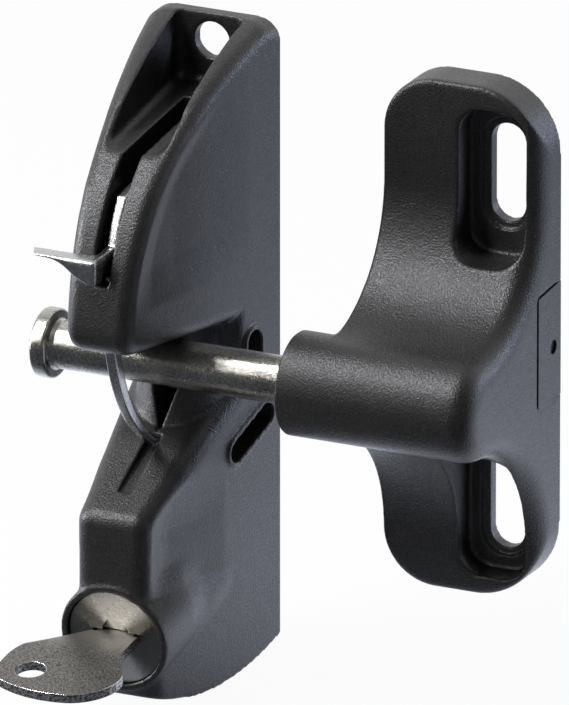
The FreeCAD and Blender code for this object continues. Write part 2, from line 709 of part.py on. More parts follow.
# Lock seat, bore and chamber, all on the lock axis, and the chamber's rear window
lock_seat = new_sketch(housing, "XZ_Plane", "housing_lock_seat")
on_lock(lock_seat)
circle(lock_seat, "0", "0", "boss_seat")
feature(housing, "Pocket", "lock_seat", lock_seat, "boss_seat_deep", "Two sides",
        length2="boss_proud + 1")
lock_hole = new_sketch(housing, "XZ_Plane", "housing_lock_bore")
on_lock(lock_hole)
circle(lock_hole, "0", "0", "lock_bore")
feature(housing, "Pocket", "lock_bore", lock_hole, "wall_end + 1")
chamber = new_sketch(housing, "XZ_Plane", "housing_chamber")
on_lock(chamber, "wall_end")
circle(chamber, "0", "0", "chamber_radius")
feature(housing, "Pocket", "lock_chamber", chamber, "chamber_end - wall_end")
window = new_sketch(housing, "XZ_Plane", "housing_window")
rectangle(window, "0 - window_half", "window_half", "window_low", "window_high")
feature(housing, "Pocket", "rear_window", window, "window_deep", back=True)

# Recess for the rear cover, and its screw holes
recess = new_sketch(housing, "XZ_Plane", "housing_cover_recess")
round_rectangle(recess, "0 - cover_half - fit_gap", "cover_half + fit_gap",
                "cover_bottom - fit_gap", "cover_top + fit_gap", "cover_round")
feature(housing, "Pocket", "cover_recess", recess, "cover_thick", back=True)
screw_spots = [(side_sign + "screw_side", level) for level in ("screw_high", "screw_low")
               for side_sign in ("", "0 - ")]
pilots = new_sketch(housing, "XZ_Plane", "housing_pilots")
for x, level in screw_spots:
    circle(pilots, x, level, "screw_radius + run_gap")
feature(housing, "Pocket", "pilot_holes", pilots, "screw_length + cover_thick", back=True)

# Ramp groove for the hook tip, and the pointed notch in the column
groove = new_sketch(housing, "YZ_Plane", "housing_groove")
outline(groove, [
    at("groove_back", "notch_high"),
    at("groove_back", ramp("groove_back") + " - groove_depth - groove_fall"),
    at("groove_front", ramp("groove_front") + " - groove_depth"),
    at("groove_front", "notch_high"),
])
feature(housing, "Pocket", "ramp_groove", groove, "groove_width", "Symmetric")
notch = new_sketch(housing, "XZ_Plane", "housing_notch")
lean(notch, "0", "0", "notch_back")
spread = "( notch_half * ( notch_top - notch_low ) / ( notch_high - notch_low ) )"
outline(notch, [("0", "notch_low"), (spread, "notch_top"), (f"0 - {spread}", "notch_top")])
feature(housing, "Pocket", "column_notch", notch, "2 * column_radius", back=True)

# Side holes with raised rims, alike on both sides
hole_sizes = {
    "upper": ("upper_hole_depth", "upper_hole_height", "upper_hole_length",
              "upper_hole_radius", "90"),
    "lower": ("lower_hole_depth", "lower_hole_height", "lower_hole_length",
              "lower_hole_radius", "lower_hole_angle"),
}
for side_name, facing, start in (("right", "0 - 1", 0), ("left", "1", 180)):
    for hole_name, (depth, height, length, radius, angle) in hole_sizes.items():
        rim = new_sketch(housing, "YZ_Plane", f"{side_name}_{hole_name}_rim")
        rim.AttachmentOffset = Placement(Vector(), Rotation(Vector(0, 1, 0), 1))
        shift = "body_width / 2" if start == 0 else "0 - body_width / 2"
        swing = "0 - side_taper" if start == 0 else "180 + side_taper"
        bind(rim, AttachmentOffset__Base__z=shift, AttachmentOffset__Rotation__Angle=swing)
        tilt = angle if start == 0 else f"180 - {angle}"
        centre = f"{facing} * {depth}"
        slot(rim, centre, height, f"{length} + 2 * hole_rim", f"( {radius} + hole_rim )", tilt)
        feature(housing, "Pad", f"{side_name}_{hole_name}_lip", rim, "rim_proud", "Two sides",
                length2="rim_proud")
        hole = new_sketch(housing, "YZ_Plane", f"{side_name}_{hole_name}_hole")
        hole.AttachmentOffset = rim.AttachmentOffset
        bind(hole, AttachmentOffset__Base__z=shift, AttachmentOffset__Rotation__Angle=swing)
        slot(hole, centre, height, length, radius, tilt)
        feature(housing, "Pocket", f"{side_name}_{hole_name}_cut", hole, "side_hole_deep",
                "Two sides", length2="2 * rim_proud")


def along_z(item, x, depth, height):
    bind(item, Placement__Base__x=x, Placement__Base__y=f"0 - ( {depth} )", Placement__Base__z=height)
    return item


def along_depth(item, x, depth, height):
    """Turn a primitive's axis to the front and place its start."""
    item.Placement = Placement(Vector(), Rotation(Vector(1, 0, 0), 90))
    return along_z(item, x, depth, height)


def cut(name, base, tool):
    item = doc.addObject("Part::Cut", name)
    item.Base = base
    item.Tool = tool
    return item


def joined(name, kind, items):
    item = doc.addObject(kind, name)
    if kind == "Part::Compound":
        item.Links = items
    else:
        item.Shapes = items
    return item


def tube(name, outer, inner, length, x, depth, height):
    """Ring along X."""
    skin = along_x(cylinder(name + "_outside", outer, length), x, depth, height)
    core = along_x(cylinder(name + "_bore", inner, length), x, depth, height)
    return cut(name, skin, core)


def root_of(square, other):
    return f"sqrt ( ( {square} ) * ( {square} ) - ( {other} ) * ( {other} ) )"


# Arm: steel plate with the hook, the ear, the hub and a fork under the hub
arm = new_body("latch_arm")
arm_side = new_sketch(arm, "YZ_Plane", "arm_side")
prong_out = "( fork_gap / 2 + fork_prong )"
prong_in = "( fork_gap / 2 )"
fork_low_out = f"pivot_height - {root_of('fork_reach', prong_out)}"
fork_low_in = f"pivot_height - {root_of('fork_reach', prong_in)}"
fork_top = "pivot_height - hub_radius"
claw_inner = "( claw_radius - claw_width )"
outline(arm_side, [
    polar("claw_radius", "claw_low"),
    at(f"pivot_depth + {root_of('claw_radius', 'ear_low - pivot_height')}", "ear_low")
    + ("claw_radius", -1),
    at("ear_front", "ear_low"),
    at("ear_front", "ear_high"),
    at(f"pivot_depth + {root_of('plate_radius', 'ear_high - pivot_height')}", "ear_high"),
    polar("plate_radius", "plate_high") + ("plate_radius", -1),
    at("plate_back", "plate_back_height"),
    polar("hub_radius", "hub_start"),
    at(f"pivot_depth - {prong_out}", f"pivot_height - {root_of('hub_radius', prong_out)}")
    + ("hub_radius", -1),
    at(f"pivot_depth - {prong_out}", fork_low_out),
    at(f"pivot_depth - {prong_in}", fork_low_in) + ("fork_reach", -1),
    at(f"pivot_depth - {prong_in}", fork_top),
    at(f"pivot_depth + {prong_in}", fork_top),
    at(f"pivot_depth + {prong_in}", fork_low_in),
    at(f"pivot_depth + {prong_out}", fork_low_out) + ("fork_reach", -1),
    at(f"pivot_depth + {prong_out}", "plate_floor"),
    at(f"pivot_depth + {root_of(claw_inner, 'pivot_height - plate_floor')}", "plate_floor"),
    polar("claw_radius - claw_tip", "claw_low") + ("claw_radius", 1),
])
feature(arm, "Pad", "arm_blank", arm_side, "arm_thick", "Symmetric")
tab = new_sketch(arm, "XZ_Plane", "arm_tab")
bind(tab, AttachmentOffset__Base__z="tab_back")
outline(tab, [
    ("tab_left", "ear_high"),
    ("tab_left", "ear_high - tab_edge"),
    ("tab_flat", "tab_flat_height"),
    ("tab_middle", "tab_middle_height") + ("tab_bend", -1),
    ("arm_thick / 2", "ear_low") + ("tab_root_bend", 1),
    ("arm_thick / 2", "ear_high"),
])
feature(arm, "Pad", "thumb_tab", tab, "ear_front - tab_back")
tab_end = new_sketch(arm, "XY_Plane", "arm_tab_end")
outline(tab_end, [
    ("tab_left", "0 - tab_back"),
    ("tab_left - 1", "0 - tab_back"),
    ("tab_left - 1", "0 - ear_front - 1"),
    ("tab_left + tab_slant", "0 - ear_front - 1"),
    ("tab_left + tab_slant", "0 - ear_front"),
])
feature(arm, "Pocket", "tab_slant_cut", tab_end, "4 * ear_high", "Symmetric")
arm_bore = new_sketch(arm, "YZ_Plane", "arm_bore")
circle(arm_bore, "0 - pivot_depth", "pivot_height", "pin_radius + run_gap")
feature(arm, "Pocket", "arm_pivot_bore", arm_bore, "2 * arm_thick", "Symmetric")

# Pivot pin, the two bushes on it, and the stop pad under the arm
pin = along_x(cylinder("arm_pivot_pin", "pin_radius", "2 * pin_half"),
              "0 - pin_half", "pivot_depth", "pivot_height")
inner_face = "( arm_thick / 2 + bush_gap )"
bush_parts = [
    tube("bush_right", "bush_radius", "pin_radius + run_gap", f"bush_outer - {inner_face}",
         inner_face, "pivot_depth", "pivot_height"),
    tube("bush_left", "bush_radius", "pin_radius + run_gap", f"bush_outer - {inner_face}",
         "0 - bush_outer", "pivot_depth", "pivot_height"),
]
bushes = joined("arm_bushes", "Part::Compound", bush_parts)
pad = doc.addObject("Part::Box", "arm_stop_pad")
bind(pad, Length="pad_width", Width="pad_length",
     Height="plate_floor - pocket_floor - seat_gap",
     Placement__Base__x="0 - pad_width / 2", Placement__Base__y="0 - pad_depth - pad_length",
     Placement__Base__z="pocket_floor")

# Rear cover with its keeper lugs and guide ribs, and its four screws
cover = new_body("rear_cover")
sheet_form = new_sketch(cover, "XZ_Plane", "cover_form")
round_rectangle(sheet_form, "0 - cover_half", "cover_half", "cover_bottom", "cover_top",
                "cover_round")
feature(cover, "Pad", "cover_sheet", sheet_form, "cover_thick")
lugs = new_sketch(cover, "XZ_Plane", "cover_lugs")
lug_half = "( pin_radius + run_gap - fit_gap )"
rectangle(lugs, "lug_start", "pin_half", f"pivot_height - {lug_half}", f"pivot_height + {lug_half}")
rectangle(lugs, "0 - pin_half", "0 - lug_start", f"pivot_height - {lug_half}",
          f"pivot_height + {lug_half}")
feature(cover, "Pad", "cover_keepers", lugs, "pivot_depth - pin_radius - fit_gap")
ribs = new_sketch(cover, "XZ_Plane", "cover_ribs")
for foot in ("rib_upper", "rib_lower"):
    rectangle(ribs, "0 - rib_thick / 2", "rib_thick / 2", foot, f"{foot} + rib_height")
feature(cover, "Pad", "cover_guides", ribs, "leg_back - plate_gap")
cover_holes = new_sketch(cover, "XZ_Plane", "cover_holes")
cover_seats = new_sketch(cover, "XZ_Plane", "cover_seats")
for x, level in screw_spots:
    circle(cover_holes, x, level, "screw_radius + fit_gap")
    circle(cover_seats, x, level, "screw_head + fit_gap")
feature(cover, "Pocket", "cover_screw_holes", cover_holes, "2 * cover_thick", back=True)
feature(cover, "Pocket", "cover_screw_seats", cover_seats, "screw_head_deep", back=True)
screws = new_body("cover_screws")
screws.AllowCompound = True
heads = new_sketch(screws, "XZ_Plane", "screw_heads")
shanks = new_sketch(screws, "XZ_Plane", "screw_shanks")
for x, level in screw_spots:
    circle(heads, x, level, "screw_head")
    circle(shanks, x, level, "screw_radius")
feature(screws, "Pad", "screw_head_pads", heads, "screw_head_deep")
feature(screws, "Pad", "screw_shank_pads", shanks, "screw_length")
drives = new_sketch(screws, "XZ_Plane", "screw_drives")
for x, level in screw_spots:
    near, far = "( drive_width / 2 )", "( drive_length / 2 )"
    outline(drives, [(f"{x} + {a}", f"{level} + {b}") for a, b in (
        (near, near), (near, far), (f"0 - {near}", far), (f"0 - {near}", near),
        (f"0 - {far}", near), (f"0 - {far}", f"0 - {near}"), (f"0 - {near}", f"0 - {near}"),
        (f"0 - {near}", f"0 - {far}"), (near, f"0 - {far}"), (near, f"0 - {near}"),
        (far, f"0 - {near}"), (far, near))])
feature(screws, "Pocket", "screw_drive_cuts", drives, "drive_deep", back=True)


def lock_sketch(body, name, inward="0"):
    sketch = new_sketch(body, "XZ_Plane", name)
    on_lock(sketch, inward)
    return sketch


def ring(name, outer, inner, start, length):
    """Ring on the lock axis."""
    body = new_body(name)
    form = lock_sketch(body, name + "_form", start)
    circle(form, "0", "0", outer)
    circle(form, "0", "0", inner)
    feature(body, "Pad", name + "_pad", form, length, back=True)
    return body


def spun(radius, angle):
    """Sketch corner at a radius and angle about the lock axis, 0 to the right, 90 up."""
    return (f"( {radius} ) * cos ( {angle} )", f"( {radius} ) * sin ( {angle} )")


# Lock barrel with its flange and the two lugs that limit the turn to a quarter
barrel = new_body("lock_barrel")
flange = lock_sketch(barrel, "barrel_flange", "flange_start")
circle(flange, "0", "0", "flange_radius")
feature(barrel, "Pad", "barrel_flange_pad", flange, "flange_thick", back=True)
skin = lock_sketch(barrel, "barrel_skin", "flange_start")
circle(skin, "0", "0", "barrel_radius")
feature(barrel, "Pad", "barrel_skin_pad", skin, "barrel_end - flange_start", back=True)
stops = lock_sketch(barrel, "barrel_stops", "barrel_end")
first_stop = "270 - stop_spread - lug_spare - lug_spread"
second_stop = "stop_spread + lug_spare"
for begin in (first_stop, second_stop):
    outline(stops, [
        spun("lug_inner", begin),
        spun("barrel_radius", begin),
        spun("barrel_radius", f"{begin} + lug_spread") + ("barrel_radius", 1),
        spun("lug_inner", f"{begin} + lug_spread"),
    ])
feature(barrel, "Pad", "barrel_stop_pads", stops, "core_end - barrel_end + stop_thick",
        "Two sides", back=True, length2="stop_thick")
hollow = lock_sketch(barrel, "barrel_hollow", "flange_start")
circle(hollow, "0", "0", "plug_radius + run_gap")
feature(barrel, "Pocket", "barrel_bore", hollow, "barrel_end", "Two sides",
        length2="flange_thick")

# Seal under the flange, washer and nut behind the wall
flange_back = "flange_start + flange_thick"
seal = ring("lock_seal", "flange_radius", "barrel_radius + run_gap", flange_back,
            f"boss_seat_deep - ( {flange_back} )")
washer = ring("lock_washer", "washer_radius", "barrel_radius + run_gap", "wall_end",
              "washer_thick")
nut = new_body("lock_nut")
nut_form = lock_sketch(nut, "nut_form", "wall_end + washer_thick")
outline(nut_form, [spun("nut_radius", str(60 * corner)) for corner in range(6)])
circle(nut_form, "0", "0", "barrel_radius + run_gap")
feature(nut, "Pad", "nut_pad", nut_form, "nut_thick", back=True)

# Lock plug: turned head, core with the keyway and wafer slots, square tail
plug = new_body("lock_plug_form")
face = lock_sketch(plug, "plug_head")
circle(face, "0", "0", "head_radius")
feature(plug, "Pad", "plug_head_pad", face, "head_thick", back=True)
core = lock_sketch(plug, "plug_core")
circle(core, "0", "0", "plug_radius")
feature(plug, "Pad", "plug_core_pad", core, "core_end", back=True)
tail = lock_sketch(plug, "plug_tail")
rectangle(tail, "0 - tail_half", "tail_half", "0 - tail_half", "tail_half")
feature(plug, "Pad", "plug_tail_pad", tail, "tail_end", back=True)
keyway = lock_sketch(plug, "plug_keyway")
rectangle(keyway, "0 - keyway_core / 2", "keyway_core / 2", "0 - keyway_thick / 2",
          "keyway_thick / 2")
feature(plug, "Pocket", "plug_keyway_cut", keyway, "keyway_end")
mouth = lock_sketch(plug, "plug_mouth")
outline(mouth, [
    ("0 - keyway_wide / 2", "0 - mouth_thick / 2"),
    ("keyway_wide / 2", "0 - mouth_thick / 2"),
    ("keyway_wide / 2", "mouth_thick / 2"),
    ("keyway_dome", "mouth_thick / 2"),
    ("0 - keyway_dome", "mouth_thick / 2") + ("keyway_dome + 0.01", 1),
    ("0 - keyway_wide / 2", "mouth_thick / 2"),
])
feature(plug, "Pocket", "plug_mouth_cut", mouth, "mouth_deep")
for index in range(int(number("sizes.wafer_count"))):
    start = f"wafer_first + {index} * wafer_pitch - wafer_gap"
    nest = lock_sketch(plug, f"wafer_nest_{index + 1}", start)
    far = "( wafer_width / 2 + wafer_gap )"
    high = "( wafer_height / 2 + wafer_gap )"
    spring_end = f"{high} + spring_length"
    outline(nest, [
        (f"0 - {far}", f"0 - {high}"),
        (far, f"0 - {high}"),
        (far, high),
        ("spring_x + spring_radius + wafer_gap", high),
        ("spring_x + spring_radius + wafer_gap", spring_end),
        ("spring_x - spring_radius - wafer_gap", spring_end),
        ("spring_x - spring_radius - wafer_gap", high),
        (f"0 - {far}", high),
    ])
    feature(plug, "Pocket", f"wafer_slot_{index + 1}", nest, "wafer_thick + 2 * wafer_gap")
screw_hole = lock_sketch(plug, "plug_screw_hole", "cam_screw_start")
circle(screw_hole, "0", "0", "cam_screw_radius + run_gap")
feature(plug, "Pocket", "plug_screw_bore", screw_hole, "tail_end")
dish = doc.addObject("Part::Cone", "plug_dish")
dish.Placement = Placement(Vector(), Rotation(Vector(1, 0, 0), number("sizes.lock_tilt - 90")))
bind(dish, Radius1="head_radius - face_rim", Radius2="face_rim / 9", Height="head_cone",
     Placement__Base__y="0 - lock_depth", Placement__Base__z="lock_height",
     Placement__Rotation__Angle="lock_tilt - 90")
lock_plug = cut("lock_plug", plug, dish)

# Wafers and their springs
wafers = new_body("lock_wafers")
wafers.AllowCompound = True
springs = []
for index in range(int(number("sizes.wafer_count"))):
    start = f"wafer_first + {index} * wafer_pitch"
    form = lock_sketch(wafers, f"wafer_{index + 1}", start)
    rectangle(form, "0 - wafer_width / 2", "wafer_width / 2", "0 - wafer_height / 2",
              "wafer_height / 2")
    rectangle(form, "0 - window_width / 2", "window_width / 2", "0 - window_height / 2",
              "window_height / 2")
    feature(wafers, "Pad", f"wafer_pad_{index + 1}", form, "wafer_thick", back=True)
    spring = cylinder(f"wafer_spring_{index + 1}", "spring_radius", "spring_length")
    spring.Placement = Placement(Vector(), Rotation(Vector(1, 0, 0), number("sizes.lock_tilt")))
    inward = f"( {start} + wafer_thick / 2 )"
    up = "( wafer_height / 2 )"
    bind(spring, Placement__Base__x="spring_x",
         Placement__Base__y=f"0 - lock_depth + {inward} * cos ( lock_tilt ) - {up} * sin ( lock_tilt )",
         Placement__Base__z=f"lock_height + {inward} * sin ( lock_tilt ) + {up} * cos ( lock_tilt )",
         Placement__Rotation__Angle="lock_tilt")
    springs.append(spring)
wafer_springs = joined("wafer_springs", "Part::Compound", springs)

# Stop washer, cam and the screw that holds them on the square tail
stop_washer = new_body("stop_washer")
stop_form = lock_sketch(stop_washer, "stop_form", "core_end")
low_side = "( 270 - stop_spread )"
high_side = "( 270 + stop_spread )"
outline(stop_form, [
    spun("stop_radius", high_side),
    spun("stop_radius", "0") + ("stop_radius", 1),
    spun("stop_radius", "130") + ("stop_radius", 1),
    spun("stop_radius", low_side) + ("stop_radius", 1),
    spun("stop_reach", low_side),
    spun("stop_reach", high_side) + ("stop_reach", 1),
])
square = "( tail_half + run_gap )"
rectangle(stop_form, f"0 - {square}", square, f"0 - {square}", square)
feature(stop_washer, "Pad", "stop_pad", stop_form, "stop_thick", back=True)
cam = new_body("lock_cam")
cam_form = lock_sketch(cam, "cam_form", "core_end + stop_thick")
cam_high = "( cam_low + cam_rise )"
steps = 12
spiral = [spun(f"cam_low + cam_rise * {steps - step} / {steps}", f"90 * {step} / {steps}")
          for step in range(1, steps + 1)]
outline(cam_form, [spun(cam_high, "0") + (cam_high, 1)] + spiral + [
    spun("cam_low", "200") + ("cam_low", 1),
    spun("cam_low", "360 - cam_land") + ("cam_low", 1),
    spun(cam_high, "360 - cam_land"),
])
rectangle(cam_form, f"0 - {square}", square, f"0 - {square}", square)
feature(cam, "Pad", "cam_pad", cam_form, "cam_thick", back=True)
cam_back = "core_end + stop_thick + cam_thick"
cam_screw = new_body("cam_screw")
cam_head = lock_sketch(cam_screw, "cam_screw_head_form", cam_back)
circle(cam_head, "0", "0", "cam_screw_head")
feature(cam_screw, "Pad", "cam_screw_head_pad", cam_head, "cam_screw_high", back=True)
cam_shank = lock_sketch(cam_screw, "cam_screw_shank", cam_back)
circle(cam_shank, "0", "0", "cam_screw_radius")
feature(cam_screw, "Pad", "cam_screw_shank_pad", cam_shank,
        f"{cam_back} - cam_screw_start - fit_gap")
cam_drive = lock_sketch(cam_screw, "cam_screw_drive", f"{cam_back} + cam_screw_high")
rectangle(cam_drive, "0 - cam_screw_head", "cam_screw_head", "0 - drive_width / 2",
          "drive_width / 2")
feature(cam_screw, "Pocket", "cam_screw_slot", cam_drive, "drive_deep", back=True)

# Key: a flat key with a large bow and a ring hole, its blade in the keyway
key = new_body("lock_key")
key_form = new_sketch(key, "XY_Plane", "key_form")
lean(key_form, "lock_tilt", "0 - lock_depth", "lock_height")


def bow(across_bow, outward):
    """Key corner at a fraction of the bow's width from its left edge and of its reach."""
    return (f"bow_left + {across_bow} * bow_width", f"0 - {outward} * bow_length")


outline(key_form, [
    ("0 - blade_width / 2", "0 - seat_gap"),
    bow(0.451, 0.008),
    bow(0.304, 0.146),
    bow(0.237, 0.207),
    bow(0.051, 0.359),
    bow(0, 0.588) + ("0.5 * bow_width", 1),
    bow(0.017, 0.812) + ("bow_width", 1),
    bow(0.110, 0.916) + ("0.18 * bow_width", 1),
    bow(0.380, 1) + ("0.9 * bow_width", 1),
    bow(0.707, 0.989) + ("bow_width", 1),
    bow(0.961, 0.793) + ("0.4 * bow_width", 1),
    bow(1, 0.644) + ("0.3 * bow_width", 1),
    bow(0.969, 0.541) + ("0.2 * bow_width", 1),
    bow(0.834, 0.300),
    bow(0.842, 0.008),
    ("blade_width / 2", "0 - seat_gap"),
    ("blade_width / 2", "blade_length - blade_tip"),
    ("blade_width / 2 - blade_tip", "blade_length"),
    ("blade_tip - blade_width / 2", "blade_length"),
    ("0 - blade_width / 2", "blade_length - blade_tip"),
])
circle(key_form, "ring_x", "0 - ring_out", "ring_hole")
feature(key, "Pad", "key_pad", key_form, "key_thick", "Symmetric")

# Locking plate: lifted by the cam, its tooth enters the arm's fork
bolt = new_body("locking_plate")
bolt_form = new_sketch(bolt, "YZ_Plane", "bolt_form")
outline(bolt_form, [
    at("leg_back", "link_low"),
    at("leg_back", "leg_top"),
    at("pivot_depth - tooth_width / 2", "leg_top"),
    at("pivot_depth - tooth_width / 2", "tooth_top"),
    at("pivot_depth + tooth_width / 2", "tooth_top"),
    at("pivot_depth + tooth_width / 2", "leg_top"),
    at("leg_front", "leg_top"),
    at("leg_front", "foot_link"),
    at("foot_front", "foot_link"),
    at("foot_front", "foot_low"),
    at("foot_back", "foot_low"),
    at("foot_back", "link_low"),
])
plate_blank = feature(bolt, "Pad", "bolt_pad", bolt_form, "plate_thick", "Symmetric")


def foot_edge(edge):
    point = middle(edge)
    low = abs(point.z - number("sizes.foot_low")) < 0.01
    return low and abs(abs(point.x) - number("sizes.plate_thick") / 2) < 0.01


foot_bevel = bolt.newObject("PartDesign::Chamfer", "foot_bevel")
foot_bevel.Base = (plate_blank, [f"Edge{i + 1}" for i, edge in enumerate(plate_blank.Shape.Edges)
                                 if foot_edge(edge)])
bind(foot_bevel, Size="foot_chamfer")

# Striker: mounting plate, concave front and round bar housing in one moulding
striker = new_body("striker_body")
striker_side = new_sketch(striker, "YZ_Plane", "striker_side")
bind(striker_side, AttachmentOffset__Base__z="striker_left")
saddle_step = "( saddle_depth - bar_depth )"
span = f"sqrt ( {saddle_step} * {saddle_step} + saddle_height * saddle_height )"
saddle = f"( {span} - housing_radius )"
plate_deep = f"( saddle_depth - {saddle} )"
meet_depth = f"bar_depth + ( saddle_depth - bar_depth ) * housing_radius / {span}"
meet_height = f"( saddle_height * housing_radius / {span} )"
outline(striker_side, [
    at("0", "striker_bottom"),
    at(plate_deep, "striker_bottom"),
    at(plate_deep, "0 - saddle_height"),
    at(meet_depth, f"0 - {meet_height}") + (saddle, 1),
    at(meet_depth, meet_height) + ("housing_radius", -1),
    at(plate_deep, "saddle_height") + (saddle, 1),
    at(plate_deep, "striker_top"),
    at("0", "striker_top"),
])
striker_block = feature(striker, "Pad", "striker_block", striker_side,
                        "striker_right - striker_left")


def right_edge(edge):
    point = middle(edge)
    on_face = abs(point.x - number("sizes.striker_right")) < 0.01 and edge.BoundBox.XLength < 0.01
    front = edge.BoundBox.YMax < -1 and edge.BoundBox.YMin < -5
    return on_face and front and edge.BoundBox.ZLength > 1


striker_soft = fillet(striker, "striker_soft_edge", striker_block, right_edge, "striker_edge")
nose_ring = new_sketch(striker, "YZ_Plane", "striker_housing")
bind(nose_ring, AttachmentOffset__Base__z="housing_left")
circle(nose_ring, "0 - bar_depth", "0", "housing_radius")
feature(striker, "Pad", "striker_housing_pad", nose_ring, "striker_left - housing_left + 10")
corners = new_sketch(striker, "XZ_Plane", "striker_corners")
for edge_x, turn_x, corner in (("striker_left", 1, "corner_left"),
                               ("striker_right", -1, "corner_right")):
    for edge_z, turn_z in (("striker_bottom", 1), ("striker_top", -1)):
        inner_x = f"{edge_x} + {turn_x} * {corner}"
        inner_z = f"{edge_z} + {turn_z} * {corner}"
        outline(corners, [
            (f"{edge_x} - {turn_x}", f"{edge_z} - {turn_z}"),
            (inner_x, f"{edge_z} - {turn_z}"),
            (inner_x, edge_z),
            (edge_x, inner_z) + (corner, -turn_x * turn_z),
            (f"{edge_x} - {turn_x}", inner_z),
        ])
feature(striker, "Pocket", "striker_corner_cuts", corners, "striker_top", "Symmetric")
recesses = new_sketch(striker, "XZ_Plane", "striker_recesses")
bind(recesses, AttachmentOffset__Base__z="slot_floor")
slots = new_sketch(striker, "XZ_Plane", "striker_slots")
for level in ("upper_recess", "lower_recess"):
    round_rectangle(recesses, "recess_x - recess_half", "recess_x + recess_half",
                    f"{level} - recess_length / 2", f"{level} + recess_length / 2", "recess_round")
steps_form = new_sketch(striker, "XZ_Plane", "striker_slot_steps")
bind(steps_form, AttachmentOffset__Base__z="slot_floor - step_deep")
for level in ("upper_slot", "lower_slot"):
    slot(steps_form, "slot_x", level, "slot_length + 2 * step_wide", "( slot_radius + step_wide )", "90")
slot(slots, "slot_x", "upper_slot", "slot_length", "slot_radius", "90")
slot(slots, "slot_x", "lower_slot", "slot_length", "slot_radius", "90")
feature(striker, "Pocket", "recess_cuts", recesses, "striker_top", back=True)
feature(striker, "Pocket", "step_cuts", steps_form, "2 * step_deep", back=True)
feature(striker, "Pocket", "slot_cuts", slots, "2 * slot_floor", "Symmetric")
bar_hole = new_sketch(striker, "YZ_Plane", "striker_bar_hole")
bind(bar_hole, AttachmentOffset__Base__z="housing_left")
sleeve_outer = "( bar_radius + sleeve_gap + sleeve_wall )"
circle(bar_hole, "0 - bar_depth", "0", f"{sleeve_outer} + run_gap")
feature(striker, "Pocket", "bar_bore", bar_hole, "bar_end + seat_gap - housing_left", back=True)
fix_hole = new_sketch(striker, "XZ_Plane", "striker_fix_hole")
circle(fix_hole, "fix_x", "0", "fix_radius + run_gap")
feature(striker, "Pocket", "fix_bore", fix_hole, "fix_seat + fix_length", back=True)
fix_way = new_sketch(striker, "XZ_Plane", "striker_fix_way")
circle(fix_way, "fix_x", "0", "fix_head + fit_gap")
feature(striker, "Pocket", "fix_head_way", fix_way, "fix_seat", back=True)
cap_nest = new_sketch(striker, "YZ_Plane", "striker_cap_nest")
bind(cap_nest, AttachmentOffset__Base__z="striker_right")
outline(cap_nest, [
    at("0 - 1", "cap_low"),
    at("cap_deep", "cap_low"),
    at("cap_deep", "cap_high - cap_slant"),
    at("0 - 1", "cap_high"),
])
feature(striker, "Pocket", "cap_nest_cut", cap_nest, "cap_thick")

# Steel bar with its flared head, the sleeve it sits in, and its fixing screw
rod = along_x(cylinder("bar_rod", "bar_radius", "bar_end - bar_left"), "bar_left", "bar_depth", "0")
bar_head = along_x(cylinder("bar_head", "bar_head_radius", "bar_head_thick"),
                   "bar_left - bar_head_thick", "bar_depth", "0")
flare = doc.addObject("Part::Cone", "bar_flare")
bind(flare, Radius1="flare_radius", Radius2="bar_radius", Height="bar_collar")
along_x(flare, "bar_left", "bar_depth", "0")
bar_solid = joined("bar_solid", "Part::MultiFuse", [rod, bar_head, flare])
sleeve_tube = tube("sleeve_tube", sleeve_outer, "bar_radius + sleeve_gap",
                   "bar_end - sleeve_left", "sleeve_left", "bar_depth", "0")
cross = along_depth(cylinder("bar_cross_hole", "fix_radius + run_gap", "fix_length + seat_gap"),
                    "fix_x", "fix_seat", "0")
bar = cut("striker_bar", bar_solid, cross)
sleeve_cross = along_depth(
    cylinder("sleeve_cross_hole", "fix_radius + run_gap", "fix_length + seat_gap"),
    "fix_x", "fix_seat", "0")
sleeve = cut("bar_sleeve", sleeve_tube, sleeve_cross)
fix = new_body("bar_fixing_screw")
fix_shank = new_sketch(fix, "XZ_Plane", "fix_shank")
bind(fix_shank, AttachmentOffset__Base__z="fix_seat")
circle(fix_shank, "fix_x", "0", "fix_radius")
feature(fix, "Pad", "fix_shank_pad", fix_shank, "fix_length")
fix_top = new_sketch(fix, "XZ_Plane", "fix_top")
bind(fix_top, AttachmentOffset__Base__z="fix_seat - fix_head_high")
circle(fix_top, "fix_x", "0", "fix_head")
feature(fix, "Pad", "fix_head_pad", fix_top, "fix_head_high")
fix_key = new_sketch(fix, "XZ_Plane", "fix_socket_form")
bind(fix_key, AttachmentOffset__Base__z="fix_seat - fix_head_high")
outline(fix_key, [
    (f"fix_x + fix_socket * cos ( {60 * corner} )", f"fix_socket * sin ( {60 * corner} )")
    for corner in range(6)])
feature(fix, "Pocket", "fix_socket_cut", fix_key, "fix_head_high / 2", back=True)

# Side cap, flush in the striker's right face
cap = new_body("striker_side_cap")
cap_form = new_sketch(cap, "YZ_Plane", "cap_form")
bind(cap_form, AttachmentOffset__Base__z="striker_right - cap_thick")
outline(cap_form, [
    at("0", "cap_low + fit_gap"),
    at("cap_deep - fit_gap", "cap_low + fit_gap"),
    at("cap_deep - fit_gap", "cap_high - cap_slant - fit_gap"),
    at("0", "cap_high - fit_gap"),
])
feature(cap, "Pad", "cap_pad", cap_form, "cap_thick")
prise = new_sketch(cap, "YZ_Plane", "cap_prise")
bind(prise, AttachmentOffset__Base__z="striker_right")
circle(prise, "0 - notch_back_way", "notch_height", "cap_notch")
feature(cap, "Pocket", "cap_prise_cut", prise, "cap_thick / 2")

